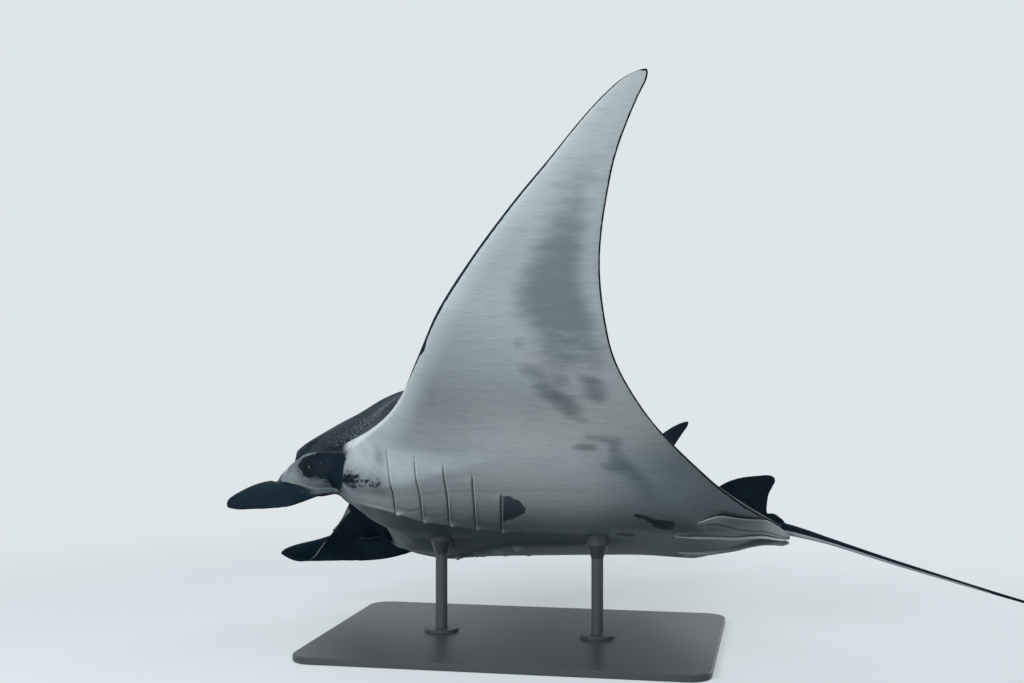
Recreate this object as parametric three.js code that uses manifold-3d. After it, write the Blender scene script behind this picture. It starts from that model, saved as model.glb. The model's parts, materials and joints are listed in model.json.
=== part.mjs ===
// Giant oceanic manta ray (Mobula birostris), adult, life size, gliding with raised wings,
// held on a plain display stand.
//
// The animal is worked out in its own axes: x forward along the backbone, y to its left, z up,
// with the front of the upper jaw near x = 0 and every size a fraction of the disc width.
// The finished animal is then scaled, banked and set on the stand (mm, +Z up, head toward -Y).

import * as THREE from 'three';
import { mergeVertices } from 'three/addons/utils/BufferGeometryUtils.js';
import Module from 'manifold-3d';

const wasm = await Module();
wasm.setup();

// ---------------------------------------------------------------- driving dimensions
const DISC_WIDTH = 4500; // wing tip to wing tip, measured along the skin
const GAP = 1; // clearance between neighbouring solids

// attitude on the stand
const BANK = THREE.MathUtils.degToRad(20.9); // left wing up
const PITCH = THREE.MathUtils.degToRad(4.1); // head up
const BALANCE = [-0.2, 0.03, 0.03]; // point of the animal held over the middle of the base
const BALANCE_HEIGHT = 760; // its height above the floor

// where the disc is divided into nodes
const WING_ROOT = 0.15; // wing nodes start this far out from the midline
const NECK = -0.056; // plane between head and trunk

// plan of the disc: distance out from the midline -> edge position along the backbone
const leadingEdge = curveThrough([
  [0, 0.033], [0.05, 0.021], [0.068, 0.008], [0.08, -0.004], [0.086, -0.0065], [0.088, 0.0185], [0.1, 0.007], [0.108, -0.018],
  [0.114, -0.042],
  [0.15, -0.084], [0.2, -0.116], [0.3, -0.156], [0.4, -0.224], [0.46, -0.275], [0.49, -0.305],
  [0.5, -0.317],
]);
const trailingEdge = curveThrough([
  [0, -0.454], [0.03, -0.436], [0.1, -0.389], [0.2, -0.329], [0.28, -0.301], [0.35, -0.294],
  [0.42, -0.301], [0.48, -0.318], [0.5, -0.325],
]);

// upward bend of the wings: distance out from the midline -> slope of the skin in degrees
const bendSlope = curveThrough([
  [0, 0], [0.045, 2.5], [0.1, 14.5], [0.2, 20.5], [0.3, 35.6], [0.4, 48.5], [0.5, 68.4],
]);
const BEND_TWIST = -0.161; // the rear of the wing bends more than the front
const RIGHT_BEND = 0.871; // the right wing is bent a little less

// side view of the body: position along the backbone -> height of back, depth of belly, rim
const backHeight = curveThrough([
  [-0.454, 0.012], [-0.4, 0.026], [-0.3, 0.055], [-0.2, 0.084], [-0.13, 0.101], [-0.09, 0.1],
  [-0.06, 0.087], [-0.03, 0.063], [0, 0.046], [0.034, 0.04],
]);
const bellyDepth = curveThrough([
  [-0.454, 0.009], [-0.4, 0.019], [-0.36, 0.0235], [-0.32, 0.024], [-0.27, 0.028], [-0.2, 0.034],
  [-0.12, 0.038], [-0.08, 0.036], [-0.045, 0.026], [-0.02, 0.03], [0.02, 0.036],
]);
const rimHeight = curveThrough([
  [-0.046, 0], [-0.022, -0.005], [-0.008, -0.0085], [0.003, -0.0165], [0.019, -0.032],
]);
const wingHalfThickness = curveThrough([
  [0, 0], [0.1, 0.011], [0.15, 0.0125], [0.2, 0.0105], [0.3, 0.0072], [0.4, 0.0045], [0.5, 0.0016],
]);
const RIM_MIDDLE = 0.0065; // height of the front rim at the middle of the upper jaw
const BACK_SPREAD = 0.13; // how far out the back's dome reaches
const BELLY_SPREAD = 0.14;

// head
const HEAD = { halfWidth: 0.108, length: 0.08, middle: -0.045 }; // rounded front in plan
const EYE = { x: -0.019, y: 0.1035, z: -0.008, radius: 0.0085 };
const ORBIT = { lift: 0.0035, reach: 0.016 }; // the swelling of the head round each eye
const MOUTH = { halfWidth: 0.085, lip: -0.048, bow: 0.01, roof: 0.001, lipHeight: -0.0185, depth: 0.006 };

// gill slits, front to rear: outer end, inner end (distance out, position along the backbone)
const GILL_COUNT = 5;
const gillOuter = (i) => [0.136 - 0.0016 * i * i, -0.1 - 0.0265 * i];
const gillInner = (i) => [0.062 - 0.003 * i, -0.1 - 0.0255 * i];
const GILL = { width: 0.0012, depth: 0.014 };

// fins and tail
const CEPHALIC_THICKNESS = 0.0018;
const CEPHALIC_SAG = { // left fin held a little higher, right fin hanging lower
  1: { tipDrop: -0.002, foldDrop: -0.001, foldBack: 0 },
  '-1': { tipDrop: 0.004, foldDrop: 0.0005, foldBack: 0.012 },
};
const DORSAL_HALF_THICKNESS = 0.0035;
const TAIL_LENGTHS = 3;
const tailHeight = curveThrough([
  [-0.8, -0.071], [-0.67, -0.0465], [-0.56, -0.0232], [-0.466, -0.0022], [-0.43, 0.003],
]);
const tailRadius = curveThrough([
  [-0.8, 0.0006], [-0.667, 0.0013], [-0.56, 0.0024], [-0.5, 0.0032], [-0.466, 0.0049],
  [-0.43, 0.0068],
]);
const TAIL_START = -0.43;
const TAIL_END = -0.8;

// stand
const BASE = { length: 1700, width: 1250, thickness: 30, corner: 90, bevel: 4 };
const ROD = { radius: 26, flangeRadius: 75, flangeHeight: 12, padRadius: 48, padHeight: 90 };
const ROD_PLACES = { stand_rod_front: [0, -360], stand_rod_rear: [0, 330] };

// ---------------------------------------------------------------- curves and numbers

/** Smooth curve through [position, value] knots that never overshoots them (monotone cubic). */
function curveThrough(knots) {
  const last = knots.length - 1;
  const rise = [];
  for (let i = 0; i < last; i++) {
    rise.push((knots[i + 1][1] - knots[i][1]) / (knots[i + 1][0] - knots[i][0]));
  }
  const slope = knots.map((_, i) => {
    if (i === 0) return rise[0];
    if (i === last) return rise[last - 1];
    const [before, after] = [rise[i - 1], rise[i]];
    return before * after <= 0 ? 0 : (2 * before * after) / (before + after);
  });
  return (position) => {
    const p = Math.min(Math.max(position, knots[0][0]), knots[last][0]);
    let i = 0;
    while (i < last - 1 && p > knots[i + 1][0]) i++;
    const width = knots[i + 1][0] - knots[i][0];
    const t = (p - knots[i][0]) / width;
    const startPart = (1 + 2 * t) * (1 - t) ** 2 * knots[i][1];
    const endPart = t * t * (3 - 2 * t) * knots[i + 1][1];
    const slopePart = t * (1 - t) ** 2 * slope[i] - t * t * (1 - t) * slope[i + 1];
    return startPart + endPart + width * slopePart;
  };
}

const between = (count, first, last) =>
  Array.from({ length: count }, (_, i) => first + ((last - first) * i) / (count - 1));

const smoothStep = (low, high, value) => THREE.MathUtils.smoothstep(value, low, high);

/** Rounded rise from 0 at an edge to 1 at `reach` inside it; power 2 is a quarter circle. */
function rounding(distance, reach, power) {
  const t = 1 - Math.min(Math.max(distance / reach, 0), 1);
  return (1 - t ** power) ** (1 / power);
}

// ---------------------------------------------------------------- the disc's surface

/** Turns a point of the flat disc into the bent one; `lift` is the height off the mid skin. */
function bent(out, x, lift) {
  const steps = 24;
  const side = Math.sign(out) || 1;
  const strength = (1 + (BEND_TWIST * (x + 0.2)) / 0.2) * (side < 0 ? RIGHT_BEND : 1);
  const slopeAt = (distance) => THREE.MathUtils.degToRad(bendSlope(distance)) * strength;
  const reach = Math.abs(out);
  let y = 0;
  let z = 0;
  for (let i = 0; i < steps; i++) {
    const angle = slopeAt((reach * (i + 0.5)) / steps);
    y += (Math.cos(angle) * reach) / steps;
    z += (Math.sin(angle) * reach) / steps;
  }
  const end = slopeAt(reach);
  return [x, side * (y - lift * Math.sin(end)), z + lift * Math.cos(end)];
}

/** Slope of a plan curve, for measuring distances square to a slanting edge. */
const slant = (edge, out) => Math.hypot(1, (edge(out + 0.001) - edge(out - 0.001)) / 0.002);

/** Height of the skin off the mid surface at a place on the disc, on its back or its belly. */
function skinLift(out, x, onBack) {
  const reach = Math.abs(out);
  const front = leadingEdge(reach);
  const rear = trailingEdge(reach);
  const fromFront = (front - x) / slant(leadingEdge, reach);
  const fromRear = (x - rear) / slant(trailingEdge, reach);
  const along = Math.min(Math.max((front - x) / (front - rear), 0), 1);

  const wingShare = smoothStep(0.104, 0.15, reach);
  const edgeReach = THREE.MathUtils.lerp(0.02, 0.1, wingShare);
  const edgePower = THREE.MathUtils.lerp(onBack ? 2 : 2.6, 1.25, wingShare);
  const frontEdge = rounding(fromFront, edgeReach, edgePower);
  const bodyEdge = rounding(fromRear, onBack ? 0.05 : 0.035, 1.3)
    * (onBack ? THREE.MathUtils.lerp(frontEdge, headDome(reach, x), smoothStep(-0.09, -0.04, x)) : frontEdge);
  const corner = smoothStep(0.085, 0.088, reach);
  const rim = THREE.MathUtils.lerp(RIM_MIDDLE, rimHeight(x), corner) * (1 - smoothStep(0.104, 0.13, reach));
  const spread = onBack
    ? Math.exp(-((reach / BACK_SPREAD) ** 2.5))
    : -Math.exp(-((reach / BELLY_SPREAD) ** 4));
  const body = (onBack ? backHeight(x) : bellyDepth(x)) * spread;

  const wingEdge = rounding(fromFront, 0.02, 2) * rounding(fromRear, 0.012, 2);
  const wing = wingHalfThickness(reach) * (0.22 + 0.78 * (1 - along)) * wingEdge
    * (1 - 0.85 * smoothStep(-0.08, -0.035, x));
  return rim + (body - rim) * bodyEdge + (onBack ? wing : -wing);
}

/** Share of the back's height that the rounded top of the head has at a place. */
function headDome(reach, x) {
  const { halfWidth, length, middle } = HEAD;
  const outward = Math.hypot(Math.max(x - middle, 0) / length, reach / halfWidth);
  return rounding(1 - outward, 0.45, 2);
}

/** Swelling of the head's side round each eye. */
function withOrbit([x, y, z]) {
  const away = Math.hypot(x - EYE.x, Math.abs(y) - EYE.y, z - EYE.z);
  return [x, y + Math.sign(y) * ORBIT.lift * Math.exp(-((away / ORBIT.reach) ** 2)), z];
}

/** One closed section of the disc: leading edge, over the back, trailing edge, belly. */
function discSection(out, count) {
  const front = leadingEdge(Math.abs(out));
  const rear = trailingEdge(Math.abs(out));
  return Array.from({ length: count }, (_, i) => {
    const turn = (2 * Math.PI * i) / count;
    const x = front + ((rear - front) * (1 - Math.cos(turn))) / 2;
    return withOrbit(bent(out, x, skinLift(out, x, i < count / 2)));
  });
}

// ---------------------------------------------------------------- solids

/** Closed geometry through rings of points; point k of a ring pairs with its mirror for caps. */
function loft(rings) {
  const size = rings[0].length;
  const positions = rings.flat(2).map((value) => value * DISC_WIDTH);
  const index = [];
  for (let r = 0; r < rings.length - 1; r++) {
    for (let k = 0; k < size; k++) {
      const [a, b] = [r * size + k, r * size + ((k + 1) % size)];
      index.push(a, b, a + size, b, b + size, a + size);
    }
  }
  const cap = (start, flip) => {
    for (let k = 0; k < size / 2; k++) {
      const quad = [k, k + 1, (size - k - 1) % size, (size - k) % size].map((i) => i + start);
      for (const [a, b, c] of [[quad[0], quad[1], quad[2]], [quad[0], quad[2], quad[3]]]) {
        if (a !== b && b !== c && c !== a) index.push(...(flip ? [a, c, b] : [a, b, c]));
      }
    }
  };
  cap(0, true);
  cap((rings.length - 1) * size, false);
  const geometry = new THREE.BufferGeometry();
  geometry.setAttribute('position', new THREE.Float32BufferAttribute(positions, 3));
  geometry.setIndex(volumeOf(positions, index) < 0 ? index.reverse() : index);
  return geometry;
}

/** Signed volume of an indexed mesh: negative when its faces point in. */
function volumeOf(positions, index) {
  const [a, b, c] = [new THREE.Vector3(), new THREE.Vector3(), new THREE.Vector3()];
  let volume = 0;
  for (let i = 0; i < index.length; i += 3) {
    a.fromArray(positions, index[i] * 3);
    b.fromArray(positions, index[i + 1] * 3);
    c.fromArray(positions, index[i + 2] * 3);
    volume += a.dot(b.cross(c)) / 6;
  }
  return volume;
}

/** Geometry with shared corners merged and only its positions kept. */
function welded(geometry) {
  const copy = geometry.clone();
  copy.deleteAttribute('normal');
  copy.deleteAttribute('uv');
  return mergeVertices(copy, 1e-3);
}

function solidOf(geometry) {
  const mesh = welded(geometry);
  return new wasm.Manifold(new wasm.Mesh({
    numProp: 3,
    vertProperties: new Float32Array(mesh.attributes.position.array),
    triVerts: new Uint32Array(mesh.index.array),
  }));
}

function geometryOf(solid) {
  const mesh = solid.getMesh();
  const geometry = new THREE.BufferGeometry();
  geometry.setAttribute('position', new THREE.Float32BufferAttribute(mesh.vertProperties, 3));
  geometry.setIndex(new THREE.Uint32BufferAttribute(mesh.triVerts, 1));
  return geometry;
}

/** A copy of a geometry grown by a small distance on every side. */
function swollen(geometry, distance) {
  const mesh = welded(geometry);
  mesh.computeVertexNormals();
  const { position, normal } = mesh.attributes;
  for (let i = 0; i < position.array.length; i++) {
    position.array[i] += normal.array[i] * distance;
  }
  return mesh;
}

/** Cuts a geometry clear of its neighbours, leaving the gap between them. */
function clearOf(geometry, ...neighbours) {
  let solid = solidOf(geometry);
  for (const neighbour of neighbours) {
    solid = solid.subtract(solidOf(swollen(neighbour, GAP))).subtract(solidOf(neighbour));
  }
  const pieces = solid.decompose().sort((a, b) => b.volume() - a.volume());
  return geometryOf(pieces[0]);
}

/** A box in the animal's axes, given by its two corners. */
function boxBetween(low, high) {
  const [a, b] = [new THREE.Vector3(...low), new THREE.Vector3(...high)];
  const size = b.clone().sub(a).multiplyScalar(DISC_WIDTH);
  const centre = a.add(b).multiplyScalar(DISC_WIDTH / 2);
  return new THREE.BoxGeometry(...size).translate(...centre);
}

// ---------------------------------------------------------------- head and trunk

/** Both sides' stations from right to left, closer together round the sides of the head. */
function bodyStations() {
  const half = [...between(6, 0, 0.075), 0.0855, ...between(8, 0.088, WING_ROOT)];
  return [...half.slice(1).reverse().map((out) => -out), ...half];
}

/** The mouth: everything below the palate and in front of the lower lip, and a slot behind it. */
function mouthCut() {
  const { halfWidth, lip, bow, roof, lipHeight, depth } = MOUTH;
  return loft(between(11, -halfWidth, halfWidth).map((y) => {
    const outward = (y / halfWidth) ** 2;
    const edge = lip + bow * outward;
    const palate = roof + 0.0085 * outward;
    const lower = lipHeight - 0.006 * outward;
    return [
      [0.05, palate + 0.002], [0, palate + 0.001], [edge, palate], [edge - depth, palate - 0.001],
      [edge - depth, lower], [edge, lower], [edge + 0.002, -0.08], [0.05, -0.08],
    ].map(([x, z]) => [x, y, z]);
  }));
}

/** A thin blade that cuts one gill slit into the belly. */
function gillCut(index, side) {
  const place = ([out, x]) => {
    const [px, py, pz] = bent(side * out, x, skinLift(side * out, x, false));
    return new THREE.Vector3(px, py, pz).multiplyScalar(DISC_WIDTH);
  };
  const [from, to] = [place(gillOuter(index)), place(gillInner(index))];
  const along = to.clone().sub(from);
  const blade = new THREE.BoxGeometry(
    along.length(), GILL.width * DISC_WIDTH, 2 * GILL.depth * DISC_WIDTH);
  const slit = along.clone().normalize();
  const across = new THREE.Vector3(0, 0, 1).cross(slit).normalize();
  const down = slit.clone().cross(across);
  blade.applyMatrix4(new THREE.Matrix4().makeBasis(slit, across, down));
  return blade.translate(...from.add(to).multiplyScalar(0.5));
}

function eyeBall(side) {
  const ball = new THREE.SphereGeometry(EYE.radius, 12, 9).rotateX(Math.PI / 2).rotateY(0.2);
  return ball
    .translate(EYE.x, side * EYE.y, EYE.z)
    .scale(DISC_WIDTH, DISC_WIDTH, DISC_WIDTH);
}

/** Head and trunk are one form parted at the neck plane; the eyes sit in sockets. */
function headAndTrunk(eyes) {
  const body = solidOf(loft(bodyStations().map((out) => discSection(out, 36))));
  const halfGap = GAP / 2 / DISC_WIDTH;
  let head = body.subtract(solidOf(boxBetween([-1, -1, -1], [NECK + halfGap, 1, 1])));
  let trunk = body.subtract(solidOf(boxBetween([NECK - halfGap, -1, -1], [1, 1, 1])));
  head = head.subtract(solidOf(mouthCut()));
  for (const eye of eyes) head = head.subtract(solidOf(swollen(eye, GAP)));
  for (const side of [1, -1]) {
    for (let i = 0; i < GILL_COUNT; i++) trunk = trunk.subtract(solidOf(gillCut(i, side)));
  }
  return { head: geometryOf(head), trunk: geometryOf(trunk) };
}

// ---------------------------------------------------------------- wings

function wing(side) {
  const start = WING_ROOT + GAP / DISC_WIDTH;
  const stations = between(13, 0, 1).map((t) => start + (0.5 - start) * Math.sin((t * Math.PI) / 2) ** 0.9);
  return loft(stations.map((out) => discSection(side * out, 28)));
}

// ---------------------------------------------------------------- fins

/** Smooth space curve through points, mirrored to the right side for side = -1. */
const spaceCurve = (points, side) =>
  new THREE.CatmullRomCurve3(points.map(([x, y, z]) => new THREE.Vector3(x, side * y, z)));

/** Cephalic fin: a sheet rolled like a paper cone. Its outer edge runs down the cheek and on to
 * the tip, the fold is its lowest line, and the inner edge comes down slantwise to the fold. */
function cephalicFin(side) {
  const { tipDrop, foldDrop, foldBack } = CEPHALIC_SAG[side];
  const sagging = ([x, y, z], i, points) => {
    const along = i / (points.length - 1);
    return [x - foldBack * (1 - along), y, z - THREE.MathUtils.lerp(foldDrop, tipDrop, along)];
  };
  const hanging = ([x, y, z], i, points) => [x, y, z - tipDrop * (i / (points.length - 1)) ** 3];
  const outer = spaceCurve([
    [-0.037, 0.1, -0.029], [-0.018, 0.104, -0.0265], [0, 0.103, -0.024], [0.018, 0.099, -0.023],
    [0.044, 0.094, -0.034], [0.065, 0.088, -0.0445],
  ].map(hanging), side);
  const fold = spaceCurve([
    [-0.041, 0.103, -0.0325], [-0.022, 0.112, -0.043], [0, 0.118, -0.051], [0.022, 0.114, -0.056],
    [0.046, 0.101, -0.0545], [0.066, 0.088, -0.0485],
  ].map(sagging), side);
  const inner = spaceCurve([
    [-0.037, 0.098, -0.0305], [-0.024, 0.088, -0.016], [-0.006, 0.0865, -0.003],
    [0.014, 0.09, -0.0245], [0.034, 0.1, -0.0525], [0.063, 0.0855, -0.0465],
  ].map(hanging), side);
  const sheet = (along, round) => {
    const [a, b, c] = [outer, fold, inner].map((curve) => curve.getPoint(along));
    const control = b.multiplyScalar(2).addScaledVector(a, -0.5).addScaledVector(c, -0.5);
    const start = a.lerp(control, round);
    return start.lerp(control.lerp(c, round), round);
  };
  const step = 0.01;
  const rings = between(13, 0, 1).map((along) => {
    const half = (CEPHALIC_THICKNESS / 2) * (1 - 0.6 * along ** 4) * Math.min(1, 0.4 + 4 * along);
    const skin = (round, sign) => {
      const [l, r] = [Math.min(along, 1 - step), Math.min(round, 1 - step)];
      const tangent = sheet(l + step, round).sub(sheet(l, round));
      const square = sheet(along, r + step).sub(sheet(along, r)).cross(tangent).normalize();
      return sheet(along, round).addScaledVector(square, sign * half);
    };
    const across = between(9, 0, 1);
    const front = across.slice(1, -1).map((round) => skin(round, 1));
    const back = across.slice(1, -1).map((round) => skin(round, -1)).reverse();
    return [sheet(along, 0), ...front, sheet(along, 1), ...back].map((p) => p.toArray());
  });
  return loft(rings);
}

/** Dorsal fin: level slices from its root to its blunt top. */
function dorsalFin() {
  const frontAt = curveThrough([
    [0, -0.345], [0.02, -0.366], [0.03, -0.379], [0.04, -0.389], [0.046, -0.403], [0.05, -0.426],
  ]);
  const rearAt = curveThrough([
    [0, -0.438], [0.02, -0.4345], [0.03, -0.4345], [0.04, -0.438], [0.045, -0.439], [0.05, -0.432],
  ]);
  return loft([0.004, 0.012, 0.02, 0.028, 0.035, 0.041, 0.046, 0.049, 0.05].map((height) => {
    const [front, rear] = [frontAt(height), rearAt(height)];
    const half = DORSAL_HALF_THICKNESS * (1.15 - (0.75 * height) / 0.05);
    return Array.from({ length: 16 }, (_, i) => {
      const turn = (2 * Math.PI * i) / 16;
      const along = (1 - Math.cos(turn)) / 2;
      return [front + (rear - front) * along, half * Math.sin(turn) * (1.3 - 0.7 * along), height];
    });
  }));
}

/** Pelvic fin: a long flat lobe beside the vent, its outer edge turned up. */
function pelvicFin(side) {
  const halfWidth = curveThrough([
    [-0.457, 0.003], [-0.45, 0.01], [-0.43, 0.0155], [-0.4, 0.017], [-0.37, 0.013], [-0.345, 0.004],
  ]);
  const tilt = THREE.MathUtils.degToRad(30);
  return loft(between(10, -0.457, -0.345).map((x) => {
    const [width, half] = [halfWidth(x), 0.0042 * Math.min(1, halfWidth(x) / 0.009)];
    return Array.from({ length: 14 }, (_, i) => {
      const turn = (2 * Math.PI * i) / 14;
      const [across, lift] = [width * Math.cos(turn), half * Math.sin(turn)];
      const y = 0.0175 + across * Math.cos(tilt) - lift * Math.sin(tilt);
      return [x, side * y, -0.0085 + across * Math.sin(tilt) + lift * Math.cos(tilt)];
    });
  }));
}

// ---------------------------------------------------------------- tail

/** The small knob behind the dorsal fin that holds the buried stump of the spine. */
function spineKnob() {
  const knob = new THREE.SphereGeometry(1, 12, 8).scale(0.0085, 0.0045, 0.0058);
  return knob.translate(-0.4448, 0, 0.0083).scale(DISC_WIDTH, DISC_WIDTH, DISC_WIDTH);
}

/** One of the lengths that the tail is parted into. */
function tailLength(part) {
  const length = (TAIL_START - TAIL_END) / TAIL_LENGTHS;
  const start = TAIL_START - part * length - (part ? GAP / DISC_WIDTH : 0);
  const end = TAIL_START - (part + 1) * length;
  return loft(between(8, start, end).map((x) => Array.from({ length: 12 }, (_, i) => {
    const turn = (2 * Math.PI * i) / 12;
    const radius = tailRadius(x);
    return [x, radius * Math.sin(turn) * 0.92, tailHeight(x) + radius * Math.cos(turn)];
  })));
}

// ---------------------------------------------------------------- stand

/** Flat base plate with round corners and a small chamfer. */
function standBase() {
  const { length, width, thickness, corner, bevel } = BASE;
  const [x, y] = [width / 2 - bevel - corner, length / 2 - bevel - corner];
  const outline = new THREE.Shape();
  outline.absarc(x, y, corner, 0, Math.PI / 2);
  outline.absarc(-x, y, corner, Math.PI / 2, Math.PI);
  outline.absarc(-x, -y, corner, Math.PI, 1.5 * Math.PI);
  outline.absarc(x, -y, corner, 1.5 * Math.PI, 2 * Math.PI);
  return new THREE.ExtrudeGeometry(outline, {
    depth: thickness - 2 * bevel, bevelThickness: bevel, bevelSize: bevel, bevelSegments: 1, curveSegments: 6,
  }).translate(0, 0, bevel);
}

/** Upright rod with a foot flange and a flared pad, its top cut to the belly it carries. */
function standRod([x, y], trunk) {
  const { radius, flangeRadius, flangeHeight, padRadius, padHeight } = ROD;
  const foot = BASE.thickness + GAP;
  const upward = new THREE.Raycaster(new THREE.Vector3(x, y, foot), new THREE.Vector3(0, 0, 1));
  const belly = upward.intersectObject(trunk)[0].point.z;
  const profile = [
    [0, foot], [flangeRadius, foot], [flangeRadius, foot + flangeHeight - 3],
    [flangeRadius - 3, foot + flangeHeight], [radius + 6, foot + flangeHeight],
    [radius, foot + flangeHeight + 6], [radius, belly - padHeight],
    [padRadius, belly - 0.35 * padHeight], [padRadius, belly + padHeight], [0, belly + padHeight],
  ];
  const rod = new THREE.LatheGeometry(profile.map((p) => new THREE.Vector2(...p)), 20);
  const body = trunk.geometry.clone().applyMatrix4(trunk.matrixWorld);
  return clearOf(rod.rotateX(Math.PI / 2).translate(x, y, 0), body);
}

// ---------------------------------------------------------------- assembly

const finish = (color, roughness, metalness = 0) =>
  () => new THREE.MeshStandardMaterial({ color, roughness, metalness });
const paleSkin = finish('#a9b8b5', 0.55);
const darkSkin = finish('#26343b', 0.5);
const finSkin = finish('#1b2a36', 0.5);
const eyeFinish = finish('#0b0d0f', 0.08);
const steelFinish = finish('#3a3e42', 0.45, 0.6);

function named(name, geometry, material) {
  const mesh = new THREE.Mesh(geometry, material());
  mesh.name = name;
  return mesh;
}

const animal = new THREE.Group();
const eyes = { left: eyeBall(1), right: eyeBall(-1) };
const { head, trunk } = headAndTrunk(Object.values(eyes));
const tailPieces = between(TAIL_LENGTHS, 0, TAIL_LENGTHS - 1).map(tailLength);
tailPieces[0] = clearOf(tailPieces[0], trunk);
const dorsal = clearOf(dorsalFin(), trunk, tailPieces[0]);
const trunkNode = named('trunk', trunk, paleSkin);

animal.add(named('head', head, darkSkin), trunkNode);
for (const [name, side] of [['left', 1], ['right', -1]]) {
  animal.add(named(`eye_${name}`, eyes[name], eyeFinish));
  animal.add(named(`wing_${name}`, wing(side), paleSkin));
  animal.add(named(`cephalic_fin_${name}`, clearOf(cephalicFin(side), head), finSkin));
  const pelvic = clearOf(pelvicFin(side), trunk, tailPieces[0]);
  animal.add(named(`pelvic_fin_${name}`, pelvic, paleSkin));
}
animal.add(named('dorsal_fin', dorsal, finSkin));
animal.add(named('tail_spine_knob', clearOf(spineKnob(), trunk, tailPieces[0], dorsal), finSkin));
tailPieces.forEach((piece, i) => animal.add(named(`tail_${i + 1}`, piece, darkSkin)));

animal.rotation.set(BANK, -PITCH, -Math.PI / 2, 'ZYX');
animal.position.set(...BALANCE).multiplyScalar(-DISC_WIDTH).applyEuler(animal.rotation);
animal.position.z += BALANCE_HEIGHT;
animal.updateMatrixWorld(true);

const manta = new THREE.Group();
manta.add(animal, named('stand_base', standBase(), steelFinish));
for (const [name, place] of Object.entries(ROD_PLACES)) {
  manta.add(named(name, standRod(place, trunkNode), steelFinish));
}

export default manta;
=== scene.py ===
# %% [markdown]
# # A giant manta ray on a display stand
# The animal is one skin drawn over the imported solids, with eyes of its own and a plain steel stand. Every form
# is worked out in the animal's own axes: x forward along the backbone, y to its left, z up, as shares of the
# width of its disc. One turn and one scale then bring it into the room, in metres.

import json

import bmesh
import bpy
import numpy as np
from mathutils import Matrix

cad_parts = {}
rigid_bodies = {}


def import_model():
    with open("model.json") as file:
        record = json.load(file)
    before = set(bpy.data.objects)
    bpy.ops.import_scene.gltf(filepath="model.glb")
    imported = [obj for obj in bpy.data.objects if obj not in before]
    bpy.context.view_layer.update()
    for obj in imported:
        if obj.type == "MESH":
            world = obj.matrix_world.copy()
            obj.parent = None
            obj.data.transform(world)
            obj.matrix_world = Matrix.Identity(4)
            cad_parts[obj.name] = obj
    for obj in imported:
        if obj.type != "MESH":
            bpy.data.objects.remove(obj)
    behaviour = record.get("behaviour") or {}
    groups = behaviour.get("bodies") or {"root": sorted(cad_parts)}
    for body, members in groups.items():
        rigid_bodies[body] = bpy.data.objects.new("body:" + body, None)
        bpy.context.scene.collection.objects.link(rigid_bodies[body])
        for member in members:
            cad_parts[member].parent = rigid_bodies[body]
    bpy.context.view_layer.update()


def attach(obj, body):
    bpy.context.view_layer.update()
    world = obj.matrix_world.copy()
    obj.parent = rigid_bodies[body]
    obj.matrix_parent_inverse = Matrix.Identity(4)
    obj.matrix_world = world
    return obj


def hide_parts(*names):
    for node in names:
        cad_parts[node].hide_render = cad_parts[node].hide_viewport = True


for spare in list(bpy.data.objects):
    bpy.data.objects.remove(spare)
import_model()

# %% [markdown]
# ## Size and attitude
# These are the same values that the solids were built from: the disc is 4.5 m across, banked with its left wing
# up and pitched slightly nose up over the middle of the stand. The finished animal could be turned as an object.
# Its points are turned instead, so that every piece sits at the origin, as the solids do.

# %% Size and attitude
DISC_WIDTH = 4.5
MM = 0.001 / DISC_WIDTH                       # one millimetre as a share of the disc width
BANK, PITCH = np.radians(20.9), np.radians(4.1)
BALANCE, BALANCE_HEIGHT = np.array([-0.2, 0.03, 0.03]), 0.76


def turn_about(axis, angle):
    """Rotation matrix about one of the three axes (0, 1 or 2), by the right-hand rule."""
    matrix = np.eye(3)
    a, b = (axis + 1) % 3, (axis + 2) % 3
    matrix[a, a] = matrix[b, b] = np.cos(angle)
    matrix[a, b], matrix[b, a] = -np.sin(angle), np.sin(angle)
    return matrix


ATTITUDE = turn_about(2, -np.pi / 2) @ turn_about(1, -PITCH) @ turn_about(0, BANK)
PLACE = np.array([0, 0, BALANCE_HEIGHT]) - ATTITUDE @ BALANCE * DISC_WIDTH


def in_room(points):
    """Turns, scales and moves points from the animal's axes into the room."""
    return points @ ATTITUDE.T * DISC_WIDTH + PLACE


print("front of the upper jaw in the room:", in_room(np.array([0.03, 0, 0.005])).round(3))

# %% [markdown]
# ## Camera
# The animal is seen from its left side, from a little ahead of the middle and below its wing, with a lens a bit
# longer than a normal one. The camera comes first, so that each piece can be judged as soon as it is made.

# %% Camera
def placed(name, data):
    """New object in the scene, at the origin and unturned."""
    thing = bpy.data.objects.new(name, data)
    bpy.context.scene.collection.objects.link(thing)
    return thing


camera = placed("camera", bpy.data.cameras.new("camera"))
camera.location = (6.015, 1.149, 1.300)
camera.rotation_euler = (np.pi / 2, 0, np.radians(101.22))
camera.data.lens, camera.data.sensor_width = 49.5, 36
bpy.context.scene.camera = camera
print("camera at", tuple(round(c, 3) for c in camera.location))

# %% [markdown]
# ## Curves from a few named knots
# A ray's outline could be modelled by pushing points about by hand. Instead each line of the body is a smooth
# curve through a few knots that never swings past them, so one number moves one feature.

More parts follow.
